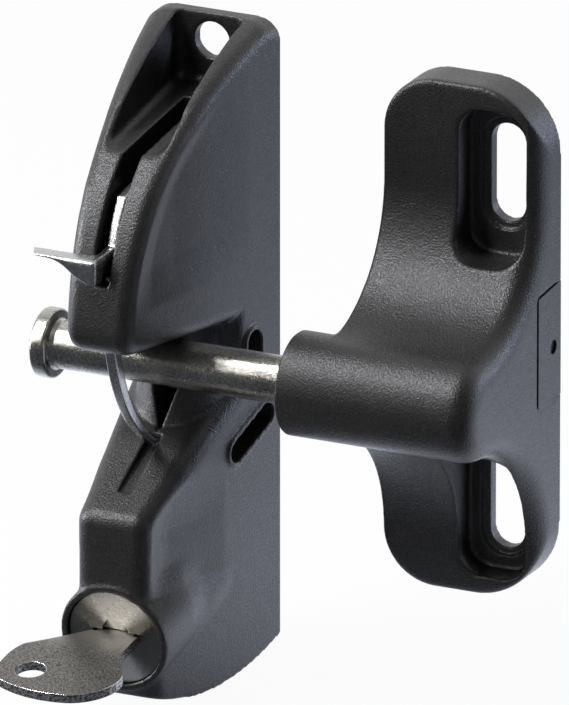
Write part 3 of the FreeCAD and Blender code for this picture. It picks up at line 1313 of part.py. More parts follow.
doc.recompute()
pieces = [
    housing, cover, screws, arm, pin, bushes, pad, barrel, lock_plug, wafers, wafer_springs, key,
    cam, cam_screw, stop_washer, washer, nut, seal, bolt, striker, bar, sleeve, fix, cap,
]
for item in doc.Objects:
    if "Invalid" in item.State or "Error" in item.State:
        raise RuntimeError(f"{item.Name} did not build")
os.makedirs("parts", exist_ok=True)
for piece in pieces:
    piece.Label = piece.Name
    if piece.Shape.isNull() or not piece.Shape.isValid():
        raise RuntimeError(f"{piece.Name} has no valid shape")
    piece.Shape.exportStep(f"parts/{piece.Name}.step")
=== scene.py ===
import math

import bmesh
import bpy
import numpy as np
from mathutils import Matrix, Vector
from mathutils.bvhtree import BVHTree


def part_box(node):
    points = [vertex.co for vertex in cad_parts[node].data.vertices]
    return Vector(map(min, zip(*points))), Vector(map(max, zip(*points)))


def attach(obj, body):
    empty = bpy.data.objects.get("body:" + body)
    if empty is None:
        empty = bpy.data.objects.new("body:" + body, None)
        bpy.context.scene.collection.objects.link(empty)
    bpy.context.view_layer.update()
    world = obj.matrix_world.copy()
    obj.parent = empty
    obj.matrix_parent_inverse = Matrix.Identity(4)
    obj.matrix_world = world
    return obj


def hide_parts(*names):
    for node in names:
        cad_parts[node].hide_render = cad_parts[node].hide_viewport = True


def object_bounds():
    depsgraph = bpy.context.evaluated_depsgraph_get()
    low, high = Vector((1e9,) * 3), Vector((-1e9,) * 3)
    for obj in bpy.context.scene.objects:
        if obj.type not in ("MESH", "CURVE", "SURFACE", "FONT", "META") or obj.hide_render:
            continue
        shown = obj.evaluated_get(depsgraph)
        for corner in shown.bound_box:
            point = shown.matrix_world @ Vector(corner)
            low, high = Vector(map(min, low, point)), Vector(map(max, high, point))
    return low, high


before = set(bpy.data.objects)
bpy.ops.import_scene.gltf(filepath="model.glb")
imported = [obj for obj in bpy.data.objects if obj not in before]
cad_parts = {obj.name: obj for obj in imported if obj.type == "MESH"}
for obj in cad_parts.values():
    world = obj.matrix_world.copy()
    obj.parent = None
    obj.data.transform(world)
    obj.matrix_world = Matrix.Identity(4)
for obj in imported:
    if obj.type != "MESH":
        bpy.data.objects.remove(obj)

cad_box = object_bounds()

# Viewpoint: the latch is seen from its right and a little above, from far away, so its
# upright edges stay nearly parallel.
turn_right = math.radians(25.5714)
look_down = math.radians(19.8088)
distance = 7.2
aim = Vector((0.0200425, 0, -0.009756))
photo_height = 705
focal_pixels = 26500

backwards = Vector((math.sin(turn_right) * math.cos(look_down),
                    -math.cos(turn_right) * math.cos(look_down), math.sin(look_down)))
across = Vector((math.cos(turn_right), math.sin(turn_right), 0))
lens = bpy.data.cameras.new("viewpoint")
lens.sensor_width = 36
lens.lens = focal_pixels * lens.sensor_width / photo_height
lens.clip_end = 50
viewer = bpy.data.objects.new("viewpoint", lens)
bpy.context.collection.objects.link(viewer)
facing = Matrix((across, backwards.cross(across), backwards)).transposed().to_4x4()
viewer.matrix_world = Matrix.Translation(aim + backwards * distance) @ facing
bpy.context.scene.camera = viewer


# Studio: a white floor just under the latch and a white wall behind it that fades to a dim room
# in front. Four lamps: a soft one above at the left, a small one in front of it, a tall one at
# the left and a bluish one behind at the right.
class Value:
    """One socket of a node tree, so that sums on it can be written as sums."""

    def __init__(self, plan, socket):
        self.plan, self.socket = plan, socket

    def sum(self, operation, *others):
        return self.plan.node("ShaderNodeMath", dict(operation=operation), *others)

    def __add__(self, other):
        return self.sum("ADD", self, other)

    def __sub__(self, other):
        return self.sum("SUBTRACT", self, other)

    def __rsub__(self, other):
        return self.sum("SUBTRACT", other, self)

    def __mul__(self, other):
        return self.sum("MULTIPLY", self, other)

    def __truediv__(self, other):
        return self.sum("DIVIDE", self, other)

    def __gt__(self, other):
        return self.sum("GREATER_THAN", self, other)

    def __lt__(self, other):
        return self.sum("LESS_THAN", self, other)

    def __pow__(self, other):
        return self.sum("POWER", self, other)

    __radd__ = __add__
    __rmul__ = __mul__


class Plan:
    """A node tree under construction."""

    def __init__(self, tree):
        self.tree = tree

    def node(self, kind, settings, *inputs, out=0, **named):
        """Add a node of a type with its settings, then its inputs by order or by name."""
        new = self.tree.nodes.new(kind)
        for key, value in settings.items():
            if key == "stops":
                ramp = new.color_ramp
                while len(ramp.elements) < len(value):
                    ramp.elements.new(0.5)
                for stop, (place, shade) in zip(ramp.elements, value):
                    stop.position = place
                    stop.color = (*shade, 1)
            else:
                setattr(new, key, value)
        pairs = list(enumerate(inputs))
        pairs += [(key.replace("_", " "), value) for key, value in named.items()]
        for key, value in pairs:
            self.feed(new.inputs[key], value)
        return Value(self, new.outputs[out])

    def feed(self, socket, value):
        if isinstance(value, Value):
            self.tree.links.new(value.socket, socket)
        elif value is not None:
            socket.default_value = value

    def smooth(self, value, low, high, first=0.0, last=1.0):
        """Soft step of a value between two limits."""
        return self.node("ShaderNodeMapRange", dict(interpolation_type="SMOOTHSTEP"), value, low,
                         high, first, last)

    def ray(self, kind):
        """1 where the ray that asks is of a kind: Camera, Transmission or Glossy."""
        return self.node("ShaderNodeLightPath", {}, out=f"Is {kind} Ray")


room = bpy.data.worlds.new("white_room")
room.use_nodes = True
bpy.context.scene.world = room
sky = Plan(room.node_tree)
direct = sky.ray("Camera") + sky.ray("Transmission") > 0.5
mirrored = sky.ray("Glossy")
heading = sky.node("ShaderNodeTexCoord", {}, out="Generated")
heading_y = sky.node("ShaderNodeSeparateXYZ", {}, heading, out="Y")
dim_heading, white_heading = -0.25, 0.45
dim_level, matt_share = 0.14, 0.3
wall = sky.smooth(heading_y, dim_heading, white_heading, dim_level, 1.0)
level = wall * (matt_share + (1 - matt_share) * mirrored)
strength = level + direct * (1 - level)
sky.feed(sky.tree.nodes["Background"].inputs["Strength"], strength)
sky.feed(sky.tree.nodes["Background"].inputs["Color"], (1, 1, 1, 1))


class Finish(Plan):
    """A material under construction."""

    def __init__(self, name, **plain):
        self.made = bpy.data.materials.new(name)
        self.made.use_nodes = True
        super().__init__(self.made.node_tree)
        self.shader = self.tree.nodes["Principled BSDF"]
        self.coat(**plain)

    def coat(self, **named):
        """Set or link sockets of the surface shader."""
        for key, value in named.items():
            if isinstance(value, tuple) and len(value) == 3:
                value = (*value, 1)
            self.feed(self.shader.inputs[key.replace("_", " ")], value)

    def place(self, centre=None, turn=(0, 0, 0), stretch=(1, 1, 1)):
        """Place on the object, from a centre, turned and stretched if asked."""
        spot = self.node("ShaderNodeTexCoord", {}, out="Object")
        if centre:
            spot = self.node("ShaderNodeVectorMath", dict(operation="SUBTRACT"), spot, centre)
            spot = self.node("ShaderNodeMapping", {}, spot, Rotation=turn, Scale=stretch)
        return spot

    def part(self, spot, axis):
        return self.node("ShaderNodeSeparateXYZ", {}, spot, out=axis)

    def noise(self, scale, detail=2.0, roughness=0.5, at=None):
        """Noise with its scale in waves per metre."""
        return self.node("ShaderNodeTexNoise", {}, Vector=at or self.place(), Scale=scale,
                         Detail=detail, Roughness=roughness)

    def shades(self, value, *stops):
        """Colours along a value; each stop is a place and a shade."""
        return self.node("ShaderNodeValToRGB", dict(stops=stops), value)

    def blend(self, factor, first, second):
        """From one colour to another by a factor."""
        pair = [(*shade, 1) if isinstance(shade, tuple) else shade for shade in (first, second)]
        new = self.tree.nodes.new("ShaderNodeMix")
        new.data_type = "RGBA"
        for socket, value in zip((new.inputs[0], new.inputs[6], new.inputs[7]), (factor, *pair)):
            self.feed(socket, value)
        return Value(self, new.outputs[2])

    def bump(self, height, strength, depth, under=None):
        return self.node("ShaderNodeBump", {}, Strength=strength, Distance=depth, Height=height,
                         Normal=under)

    def soft_edges(self, radius):
        """Surface direction with its sharp edges eased over a radius."""
        return self.node("ShaderNodeBevel", dict(samples=8), radius)

    def facing(self, direction):
        """How squarely the surface looks along a direction, from -1 to 1."""
        true = self.node("ShaderNodeNewGeometry", {}, out="True Normal")
        return self.node("ShaderNodeVectorMath", dict(operation="DOT_PRODUCT"), true, direction,
                         out=1)

    def edge_wear(self, radius):
        """1 along sharp edges, 0 on flat ground."""
        return self.smooth(1 - self.facing(self.soft_edges(radius)), 0.02, 0.14)

    def dress(self, *nodes):
        """Give the finish to whole pieces of the frame."""
        for node in nodes:
            mesh = bpy.data.objects[node].data
            mesh.materials.clear()
            mesh.materials.append(self.made)
            for face in mesh.polygons:
                face.material_index = 0


floor_gap, floor_reach = 0.0002, 6
floor_level = cad_box[0][2] - floor_gap
floor_corners = [(x * floor_reach, y * floor_reach, floor_level)
                 for x, y in ((-1, -1), (1, -1), (1, 1), (-1, 1))]
ground = bpy.data.meshes.new("floor")
ground.from_pydata(floor_corners, [], [(0, 1, 2, 3)])
floor = bpy.data.objects.new("floor", ground)
bpy.context.collection.objects.link(floor)
white = Finish("white_floor", Base_Color=(0.8, 0.8, 0.8), Roughness=0.9, Specular_IOR_Level=0.1)
# Seen directly, the floor is white but for a twentieth, which keeps the latch's shadow. In
# reflections it is bluish, and brightest just behind the latch.
direct = white.ray("Camera") + white.ray("Transmission")
mirrored = (direct < 0.5) * white.ray("Glossy")
floor_y = white.part(white.place(), "Y")
strip = white.smooth(floor_y, -0.1, 0.05, 0.1, 1.6) - white.smooth(floor_y, 0.07, 0.4)
white_share, mirror_tone = 0.95, (0.82, 0.87, 1.0)
tone = white.blend(direct, mirror_tone, (1.0, 1.0, 1.0))
glow = white.node("ShaderNodeEmission", {}, tone, direct + mirrored * strip)
mixed = white.node("ShaderNodeMixShader", {}, direct * white_share + mirrored,
                   Value(white, white.shader.outputs[0]), glow)
white.feed(white.tree.nodes["Material Output"].inputs["Surface"], mixed)
ground.materials.append(white.made)


def lamp(name, place, width, height, power, shade=(1, 1, 1), target=(0.02, -0.03, -0.01)):
    """Soft rectangular lamp that looks at a target near the latch's middle."""
    data = bpy.data.lights.new(name, "AREA")
    data.shape = "RECTANGLE"
    data.size, data.size_y, data.energy, data.color = width, height, power, shade
    item = bpy.data.objects.new(name, data)
    bpy.context.collection.objects.link(item)
    item.location = place
    item.rotation_euler = (Vector(target) - Vector(place)).to_track_quat("-Z", "Y").to_euler()


lamp("top_lamp", (-0.55, -0.5, 1.05), 0.45, 0.3, 13)
lamp("front_lamp", (-0.66, -1.0, 0.62), 0.2, 0.4, 3, (1.0, 0.99, 0.97))
lamp("left_lamp", (-1.25, -0.35, 0.2), 0.3, 0.8, 16)
lamp("right_lamp", (0.95, 0.9, 0.25), 0.35, 0.6, 5, (0.66, 0.74, 1.0))
bpy.context.scene.view_settings.view_transform = "Standard"

# Latch housing: one black moulding of glass-filled nylon, with thin side walls at the top, a
# throat for the bar and a round boss for the lock. Its inner corners run soft, as a mould's do.
grained = Finish("black_polymer", Specular_IOR_Level=0.6, Specular_Tint=(0.95, 0.96, 1.0))
speck = grained.smooth(grained.noise(1900, 3, 0.65), 0.36, 0.66)
flow = grained.noise(55, 3)
fine = grained.bump(grained.noise(1900, 2, 0.6), 0.5, 0.0004)
grained.coat(Base_Color=grained.blend(speck, (0.008, 0.0077, 0.0075), (0.026, 0.0253, 0.0245)),
             Roughness=0.36 - 0.12 * speck + 0.06 * flow,
             Normal=grained.bump(flow, 0.12, 0.002, fine))


def ramp_of(value, low, high):
    """0 below one limit, 1 above the other and straight between them, for an array."""
    return np.clip((value - low) / (high - low), 0, 1)


def within(value, low, high, ease):
    """1 between two limits, with soft ends, for an array of sizes in millimetres."""
    return ramp_of(value, low - ease, low) * (1 - ramp_of(value, high, high + ease))


def baked(piece, name):
    """Turn a piece's modifiers into plain mesh."""
    seen = piece.evaluated_get(bpy.context.evaluated_depsgraph_get())
    final = bpy.data.meshes.new_from_object(seen)
    piece.modifiers.clear()
    piece.data = final
    final.name = name
    if piece.vertex_groups:
        piece.vertex_groups.clear()


def seated(piece, body, node):
    """Let a finished piece ride on its body, in the place of its node."""
    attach(piece, body)
    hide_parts(node)


def moulded(name, node, grid, softness, soft_turns, body, finish, shaped=None, most=175000):
    """Copy of a piece with even faces, moved by shaped if that is given, whose corners are
    eased where softness says. It keeps about as many triangles as most says, or fewer."""
    skin = bpy.data.objects[node].data.copy()
    work = bmesh.new()
    work.from_mesh(skin)
    bmesh.ops.remove_doubles(work, verts=work.verts, dist=1e-6)
    work.to_mesh(skin)
    work.free()
    piece = bpy.data.objects.new(name, skin)
    bpy.context.collection.objects.link(piece)
    remesh = piece.modifiers.new("even_skin", "REMESH")
    remesh.mode, remesh.voxel_size, remesh.adaptivity = "VOXEL", grid, 0
    baked(piece, name)
    spots = np.empty(len(piece.data.vertices) * 3)
    piece.data.vertices.foreach_get("co", spots)
    spots = spots.reshape(-1, 3) * 1000
    if shaped:
        piece.data.vertices.foreach_set("co", shaped(spots).ravel() / 1000)
    steps = 8
    weights = np.round(softness(spots) * steps) / steps
    group = piece.vertex_groups.new(name="soft")
    for weight in np.unique(weights[weights > 0]):
        group.add(np.nonzero(weights == weight)[0].tolist(), float(weight), "REPLACE")
    eased = piece.modifiers.new("soft_corners", "SMOOTH")
    eased.factor, eased.iterations, eased.vertex_group = 0.5, soft_turns, "soft"
    evened = piece.modifiers.new("even_faces", "SMOOTH")
    evened.factor, evened.iterations = 0.5, 5
    thin = piece.modifiers.new("fewer_faces", "DECIMATE")
    thin.ratio = min(1.0, most / (2 * len(piece.data.polygons)))
    baked(piece, name)
    for face in piece.data.polygons:
        face.use_smooth = True
    piece.data.materials.clear()
    piece.data.materials.append(finish.made)
    seated(piece, body, node)


tilt = math.radians(9.5)
lock_depth, lock_height = 64.2, -73.9
lock_face = Vector((0, -lock_depth / 1000, lock_height / 1000))
lock_out = Vector((0, -math.cos(tilt), -math.sin(tilt)))


def latch_softness(spot):
    """Where the latch moulding runs softly, in millimetres of width, depth and height: in the
    fold round the boss, at the foot and the back of the throat, along the upper sides and round
    the scoop's rim. The long holes stay sharp."""
    x, depth, z = np.abs(spot[:, 0]), -spot[:, 1], spot[:, 2]
    from_lock = spot / 1000 - np.array(lock_face)
    ahead = from_lock @ np.array(lock_out) * 1000
    aside = np.sqrt(np.maximum((from_lock ** 2).sum(1) * 1e6 - ahead ** 2, 0))
    fold = within(aside, 16.4, 27, 1.0) * within(depth, 14, 66, 4) * within(z, -95, -50, 4)
    foot = within(z, -36, -10, 4) * within(depth, 22, 44, 3) * within(x, 7, 30, 3.5)
    throat = within(z, -8, 13, 3) * within(depth, 19, 31, 2) * within(x, 5, 30, 2) * 0.6
    sides = 0.35 * within(depth, 3, 80, 2) * within(x, 12, 30, 2) * within(z, 16, 90, 4)
    scoop = within(depth, 43, 66, 3) * within(z, 48, 70, 3) * within(x, 3.6, 30, 1)
    holes = within(depth, 2, 29, 1) * within(z, -39, 4, 1) * within(x, 13.5, 30, 1)
    return np.maximum.reduce([fold, foot * (1 - holes), throat * (1 - holes), sides, scoop])


def behind_front(depth, z):
    """How far each place lies behind the front outline at its height, in millimetres."""
    lowest, slices, span = -110, 220, 7
    front = np.zeros(slices)
    np.maximum.at(front, np.clip(z - lowest, 0, slices - 1).astype(int), depth)
    evened = np.convolve(front, np.ones(span) / span, "same")
    return np.interp(z, np.arange(slices) + lowest + 0.5, evened) - depth


def side_hollow(spot):
    """How deep the sides are drawn in behind the front band, below the throat and beside the
    nose, in millimetres. Round the lock's barrel they stay as they are."""
    half_width, draft = 19, math.radians(7.125)
    low_hollow, high_hollow = 2.5, 1.9
    x, depth, z = np.abs(spot[:, 0]), -spot[:, 1], spot[:, 2]
    side = half_width - depth * math.tan(draft)
    boss_top = -70 - 0.47 * (depth - 30)
    low = low_hollow * ramp_of(depth, 28, 52) * ramp_of(z, boss_top - 4, boss_top + 5)
    low *= 1 - ramp_of(z, -46, -32)
    lock_axis = lock_height + (lock_depth - depth) * math.tan(tilt)
    from_barrel = np.hypot(x, z - lock_axis)
    low *= 1 - ramp_of(depth, 38, 48) * (1 - ramp_of(from_barrel, 16.5, 20))
    high = high_hollow * ramp_of(depth, 16, 50) * ramp_of(z, 22, 32) * (1 - ramp_of(z, 60, 84))
    outer = ramp_of(x, side - 4, side - 0.5)
    return (low + high) * outer * ramp_of(behind_front(depth, z), 3.5, 12)


def latch_shape(spot):
    """Where the places of the latch moulding go: in at its sides, and outwards in the guide of
    the locking plate, round the plate's lowest and highest place."""
    guide_half, guide_reach, plate_rise = 3, 1.2, 4.5
    moved = spot.copy()
    moved[:, 0] -= np.sign(spot[:, 0]) * side_hollow(spot)
    plate = bpy.data.objects["locking_plate"].data
    for lift in (0, plate_rise):
        corners = [corner.co * 1000 + Vector((0, 0, lift)) for corner in plate.vertices]
        skin = BVHTree.FromPolygons(corners, [face.vertices for face in plate.polygons])
        for index in np.nonzero(np.abs(spot[:, 0]) < guide_half)[0]:
            place = Vector(spot[index])
            nearest, outward, _, gap = skin.find_nearest(place)
            if gap < guide_reach or (place - nearest).dot(outward) < 0:
                moved[index, 0] = math.copysign(guide_half, spot[index, 0])
    return moved


grid = 0.0004
moulded("latch_moulding", "latch_housing", grid, latch_softness, 60, "latch", grained,
        latch_shape)

# Rear cover and its screws: a flat cover of the same plastic, let into the mounting face and
# held by four small cross-recessed screws of zinc-plated steel.
grained.dress("rear_cover")
zinc = Finish("zinc_plated_steel", Metallic=1.0)
cloud = zinc.noise(900, 3)
rub = zinc.edge_wear(0.0002)
dull = zinc.shades(cloud, (0.3, (0.42, 0.42, 0.40)), (0.7, (0.6, 0.6, 0.58)))
zinc.coat(Base_Color=zinc.blend(rub, dull, (0.85, 0.85, 0.83)), Roughness=0.3 + 0.2 * cloud,
          Normal=zinc.bump(zinc.noise(5200, 2), 0.2, 0.00006, zinc.soft_edges(0.00015)))
zinc.dress("cover_screws")

# Arm pin, bushes and stop pad: a pin of the same zinc-plated steel, two turned nylon bushes
# beside the arm, and a soft pad that its fall ends on.
zinc.dress("arm_pivot_pin")
nylon = Finish("grey_nylon")
lathe = nylon.node("ShaderNodeTexWave", dict(bands_direction="X"), nylon.place(), Scale=900.0,
                   Distortion=0.6)
nylon.coat(Base_Color=nylon.blend(nylon.noise(700), (0.34, 0.34, 0.33), (0.46, 0.46, 0.45)),
           Roughness=0.45 + 0.1 * lathe, Normal=nylon.bump(lathe, 0.1, 0.00005))
nylon.dress("arm_bushes")
rubber = Finish("soft_rubber")
crumb = rubber.noise(2400, 4, 0.7)
rubber.coat(Base_Color=rubber.blend(crumb, (0.014, 0.014, 0.014), (0.035, 0.035, 0.034)),
            Roughness=0.7 + 0.2 * crumb, Normal=rubber.bump(crumb, 0.4, 0.0001))
rubber.dress("arm_stop_pad")

# Hook arm: one plate of stainless steel with a bent thumb tab, cast and then tumbled, so its
# edges are bright and its faces have a fine satin grain.
satin = Finish("arm_steel", Metallic=1.0)
pivot, streaks = (0, -0.016, 0.0203), (1, 6, 1)
streak = satin.noise(700, 4, 0.6, satin.place(pivot, stretch=streaks))
pits = satin.noise(3000, 3, 0.6)
edge = satin.edge_wear(0.0003)
plain = satin.shades(streak * 0.6 + pits * 0.4, (0.35, (0.40, 0.40, 0.41)),
                     (0.65, (0.64, 0.64, 0.65)))
satin.coat(Base_Color=satin.blend(edge, plain, (0.93, 0.93, 0.93)),
           Roughness=0.12 + 0.3 * streak, Normal=satin.bump(pits, 0.4, 0.00012))


def arm_softness(spot):
    """The thumb tab is well rounded, the rest only eased."""
    return 0.1 + 0.9 * within(spot[:, 2], 29, 50, 2) * within(-spot[:, 1], 70, 90, 1.5)


arm_grid = 0.0003
moulded("hook_arm", "latch_arm", arm_grid, arm_softness, 100, "arm", satin,
        most=90000)

# Lock: a nickel-plated cam lock let into the boss, with a soft seal and a zinc-plated cam. The
# plug's face is turned on a lathe, so fine rings run round it and its edge has a narrow bright
# rim. Light fans across the face are a painted highlight in its colour, by angle round the axis.
nickel = Finish("turned_nickel", Metallic=1.0)
on_axis = nickel.place(tuple(lock_face), (-tilt, 0, 0))
across_face, up_face = nickel.part(on_axis, "X"), nickel.part(on_axis, "Z")
from_axis = (across_face ** 2 + up_face ** 2) ** 0.5
ring_rate, ring_waver = 21000, 9
rings = nickel.node("ShaderNodeMath", dict(operation="SINE"),
                    from_axis * ring_rate + nickel.noise(260, 2, at=on_axis) * ring_waver)
stain = nickel.noise(420, 4, 0.65)
grit = nickel.noise(3600, 3, 0.6)
rim = nickel.edge_wear(0.00025)
# Painted highlight: the face's colour is lighter above and below the axis and darker at its sides,
# mixed with the stains.
painted_fan_lean, never_zero = 0.3, 1e-6
turn = up_face * up_face - across_face * across_face + painted_fan_lean * across_face * up_face
painted_fan = nickel.smooth(turn / (from_axis * from_axis + never_zero), -0.5, 0.7)
stain_and_painted_fan = nickel.shades(stain * 0.4 + painted_fan * 0.6, (0.25, (0.20, 0.195, 0.18)),
                       (0.5, (0.5, 0.49, 0.46)), (0.75, (0.93, 0.91, 0.87)))
ringed = nickel.bump(rings, 0.18, 0.00005, nickel.soft_edges(0.0002))
nickel.coat(Base_Color=nickel.blend(rim, stain_and_painted_fan, (0.93, 0.92, 0.9)),
            Roughness=0.2 + 0.16 * stain, Normal=nickel.bump(grit, 0.2, 0.00006, ringed))
nickel.dress("lock_plug", "lock_barrel", "lock_nut")
zinc.dress("lock_cam", "cam_screw", "stop_washer", "lock_washer")
rubber.dress("lock_seal")

# Locking plate: a flat plate of zinc-plated steel in a guide of the housing. The lock's cam
# raises it, and its tooth then stands in the way of the arm.
zinc.dress("locking_plate")

# Wafers: five thin plates stamped from brass. They sit in slots across the plug, where the
# key's cuts line them up.
brass = Finish("stamped_brass", Metallic=1.0)
tarnish = brass.noise(1500, 3)
brass.coat(Base_Color=brass.blend(tarnish, (0.52, 0.36, 0.13), (0.78, 0.6, 0.28)),
           Roughness=0.25 + 0.25 * tarnish, Normal=brass.bump(tarnish, 0.15, 0.00005))
brass.dress("lock_wafers")


# Wafer springs: five small coils of spring steel wire, one beside each wafer, that press it
# out of the plug.
class Layout(Plan):
    """A Geometry Nodes tree under construction, with named sizes."""

    def __init__(self, name, **sizes):
        super().__init__(bpy.data.node_groups.new(name, "GeometryNodeTree"))
        self.tree.interface.new_socket("Geometry", in_out="OUTPUT", socket_type="NodeSocketGeometry")
        self.sizes, self.sockets = sizes, {}
        for size, value in sizes.items():
            kind = "NodeSocketInt" if isinstance(value, int) else "NodeSocketFloat"
            socket = self.tree.interface.new_socket(size.replace("_", " "), in_out="INPUT",
                                                    socket_type=kind)
            socket.default_value = value
            self.sockets[size] = socket.identifier
        self.given = self.tree.nodes.new("NodeGroupInput")

    def size(self, name):
        return Value(self, self.given.outputs[name.replace("_", " ")])

    def joined(self, x=0.0, y=0.0, z=0.0):
        return self.node("ShaderNodeCombineXYZ", {}, x, y, z)

    def made_into(self, name, shape, finish, body, node, slot):
        """Close the tree, build the piece as plain mesh and let it ride in a node's place."""
        whole = self.node("GeometryNodeRealizeInstances", {}, shape)
        dressed = self.node("GeometryNodeSetMaterial", {}, whole, None, finish.made)
        end = self.tree.nodes.new("NodeGroupOutput")
        self.feed(end.inputs[0], dressed)
        piece = bpy.data.objects.new(name, bpy.data.meshes.new(name))
        bpy.context.collection.objects.link(piece)
        layout = piece.modifiers.new("layout", "NODES")
        layout.node_group = self.tree
        for size, value in self.sizes.items():
            layout[self.sockets[size]] = value
        baked(piece, name)
        seated(piece, body, node)
        return piece


low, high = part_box("wafer_springs")
coils = Layout("coil_springs", count=5, turns=5.0, coil_radius=0.0005, wire_radius=0.0001,
               coil_length=0.003, pitch=0.003)
wire = coils.node("GeometryNodeCurveSpiral", {}, Resolution=14, Rotations=coils.size("turns"),
                  Start_Radius=coils.size("coil_radius"), End_Radius=coils.size("coil_radius"),
                  Height=coils.size("coil_length"))
section = coils.node("GeometryNodeCurvePrimitiveCircle", {}, Resolution=6,
                     Radius=coils.size("wire_radius"))
coil = coils.node("GeometryNodeCurveToMesh", {}, Curve=wire, Profile_Curve=section, Fill_Caps=True)
row = coils.node("GeometryNodeMeshLine", {}, Count=coils.size("count"),
                 Offset=coils.joined(0.0, coils.size("pitch") * math.cos(tilt),
                                     coils.size("pitch") * math.sin(tilt)))
placed = coils.node("GeometryNodeInstanceOnPoints", {}, Points=row, Instance=coil,
                    Rotation=(tilt, 0, 0))
first_in, first_up = 0.00085, 0.0002
first_spring = ((low.x + high.x) / 2, low.y + first_in, low.z + first_up)
placed = coils.node("GeometryNodeTransform", {}, placed, Translation=first_spring)
coils.made_into("coil_springs", placed, zinc, "plug", "wafer_springs", "bright_steel")

# Key: a flat stamped key with a broad bow and a ring hole. Its faces are a dull warm grey, its
# sheared edges sparkle and its upper corners are worn bright.
worn = Finish("key_metal", Metallic=1.0)
on_key = worn.place(tuple(lock_face), (-tilt, 0, 0))
flat = worn.facing((0, -math.sin(tilt), math.cos(tilt)))
sheared = 1 - worn.smooth(flat * flat, 0.3, 0.6)
near_lock = worn.smooth(0 - worn.part(on_key, "Y"), 0.002, 0.014, 1.0, 0.0)
dust = worn.noise(1900, 4, 0.7)
crumbs = worn.noise(1500, 2, 0.5)
face_shade = worn.shades(dust, (0.38, (0.05, 0.046, 0.042)), (0.62, (0.3, 0.29, 0.275)))
face_shade = worn.blend(near_lock, face_shade, (0.36, 0.34, 0.31))
cut_shade = worn.shades(crumbs, (0.42, (0.2, 0.2, 0.2)), (0.58, (0.95, 0.94, 0.92)))
corner_width = 0.00035
bright = worn.edge_wear(corner_width)
shade = worn.blend(sheared, face_shade, cut_shade)
dusty = worn.bump(dust, 0.3, 0.00006, worn.soft_edges(corner_width))
worn.coat(Base_Color=worn.blend(bright, shade, (0.95, 0.95, 0.94)),
          Roughness=0.46 - 0.2 * bright - 0.1 * sheared,
          Normal=worn.bump(crumbs, 0.4, 0.00012, dusty))
worn.dress("lock_key")

# Striker bar: turned from one rod and nickel plated, with a broad head that keeps the gate
# from sliding off the hook, a short flare under the head and eased edges.
turned = Finish("plated_bar", Metallic=1.0)
lines = turned.noise(1400, 3, 0.6, turned.place((0, 0, 0), stretch=(1, 0.05, 0.05)))
speckle = turned.noise(1700, 4, 0.75)
haze = turned.noise(120, 3)
metal = turned.shades(speckle * 0.7 + haze * 0.3, (0.38, (0.26, 0.255, 0.23)),
                      (0.6, (0.66, 0.65, 0.6)))
turned.coat(Base_Color=metal, Roughness=0.1 + 0.2 * speckle,
            Normal=turned.bump(speckle, 0.5, 0.00014, turned.bump(lines, 0.12, 0.00005)))
bar_depth = 0.0445
bar = Layout("turned_bar", inner_end=-0.0311, head_end=-0.0263, outer_end=0.092,
             head_radius=0.0097, bar_radius=0.00665, flare_radius=0.0073, flare_length=0.0012,
             head_rounding=0.0011, end_rounding=0.0006, centre=0.0003)
index = bar.node("GeometryNodeInputIndex", {})


def picked(values):
    """One of the values, by the index of the point."""
    return sum(bar.node("FunctionNodeCompare", dict(data_type="INT", operation="EQUAL"), None,
                        None, index, place) * value for place, value in enumerate(values))


stations = [bar.size("inner_end"), bar.size("inner_end"), bar.size("head_end"),
            bar.size("head_end"), bar.size("head_end") + bar.size("flare_length"),
            bar.size("outer_end"), bar.size("outer_end")]
radii = [bar.size("centre"), bar.size("head_radius"), bar.size("head_radius"),
         bar.size("flare_radius"), bar.size("bar_radius"), bar.size("bar_radius"),
         bar.size("centre")]
rounds = [0.0, bar.size("head_rounding"), bar.size("head_rounding"), 0.0,
          bar.size("end_rounding"), bar.size("end_rounding"), 0.0]
profile = bar.node("GeometryNodePoints", {}, Count=len(stations))
profile = bar.node("GeometryNodeSetPosition", {}, profile,
                   Position=bar.joined(picked(stations), 0.0, picked(radii)))
profile = bar.node("GeometryNodePointsToCurves", {}, profile)
profile = bar.node("GeometryNodeFilletCurve", dict(mode="POLY"), profile, Count=6,
                   Radius=picked(rounds), Limit_Radius=True)
spot = bar.node("GeometryNodeInputPosition", {})
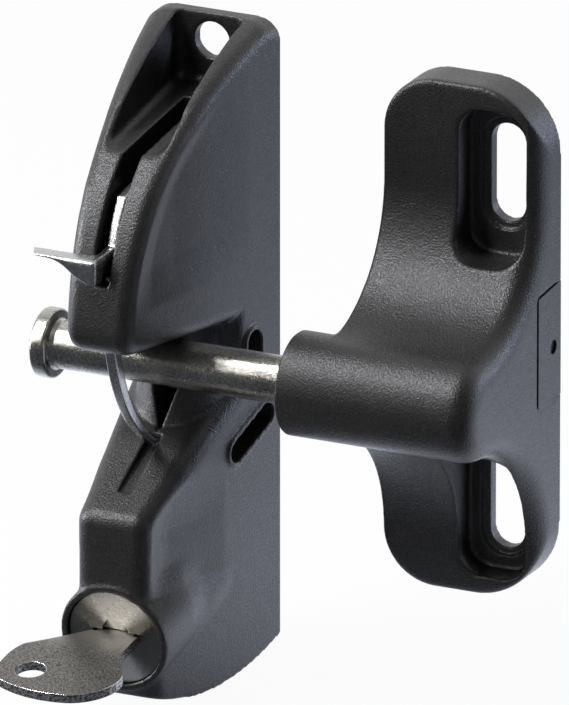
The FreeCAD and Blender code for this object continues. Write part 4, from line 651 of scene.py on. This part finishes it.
station = bar.node("ShaderNodeSeparateXYZ", {}, spot, out="X")
radius = bar.node("ShaderNodeSeparateXYZ", {}, spot, out="Z")
kept = bar.tree.nodes.new("GeometryNodeCaptureAttribute")
kept.domain = "POINT"
kept.capture_items.new("FLOAT", "radius")
bar.feed(kept.inputs[0], profile)
bar.feed(kept.inputs[1], radius)
least_step = 2e-7
axis = bar.node("GeometryNodeSetPosition", {}, Value(bar, kept.outputs[0]),
                Position=bar.joined(station + index * least_step, 0.0, 0.0))
ring = bar.node("GeometryNodeCurvePrimitiveCircle", {}, Resolution=96, Radius=1.0)
sweep = bar.node("GeometryNodeCurveToMesh", {}, Curve=axis, Profile_Curve=ring,
                 Scale=Value(bar, kept.outputs[1]), Fill_Caps=True)
placed = bar.node("GeometryNodeTransform", {}, sweep, Translation=(0, -bar_depth, 0))
rod = bar.made_into("turned_bar", placed, turned, "striker", "striker_bar", "nickel")
for face in rod.data.polygons:
    face.use_smooth = True
rod.data.set_sharp_from_angle(angle=math.radians(38))


# Striker: one black moulding with a mounting plate, a concave front and a round housing that
# holds the bar by a steel sleeve and a fixing screw from the back.
def striker_softness(spot):
    """Where the striker moulding runs softly, in millimetres of width, depth and height: on its
    front, and more so along its outline, apart from the slots and the bar's mouth."""
    slot_across, upper_slot, lower_slot = 88, 52, -38.6
    slot_squash, slot_reach, slot_ease = 0.48, 9, 3
    x, depth, z = spot[:, 0], -spot[:, 1], spot[:, 2]
    front = within(depth, 15, 60, 3) * within(x, 52, 108, 3)
    along = np.minimum(np.abs(z - upper_slot), np.abs(z - lower_slot)) * slot_squash
    clear = np.clip(np.hypot(x - slot_across, along) - slot_reach, 0, slot_ease) / slot_ease
    outline = within(depth, 4, 60, 2) * clear * (1 - within(z, -20, 22, 2) * (x < 58))
    return np.maximum(0.6 * front, 0.85 * outline)


moulded("striker_moulding", "striker_body", grid, striker_softness, 50, "striker", grained)
grained.dress("striker_side_cap")
zinc.dress("bar_sleeve", "bar_fixing_screw")
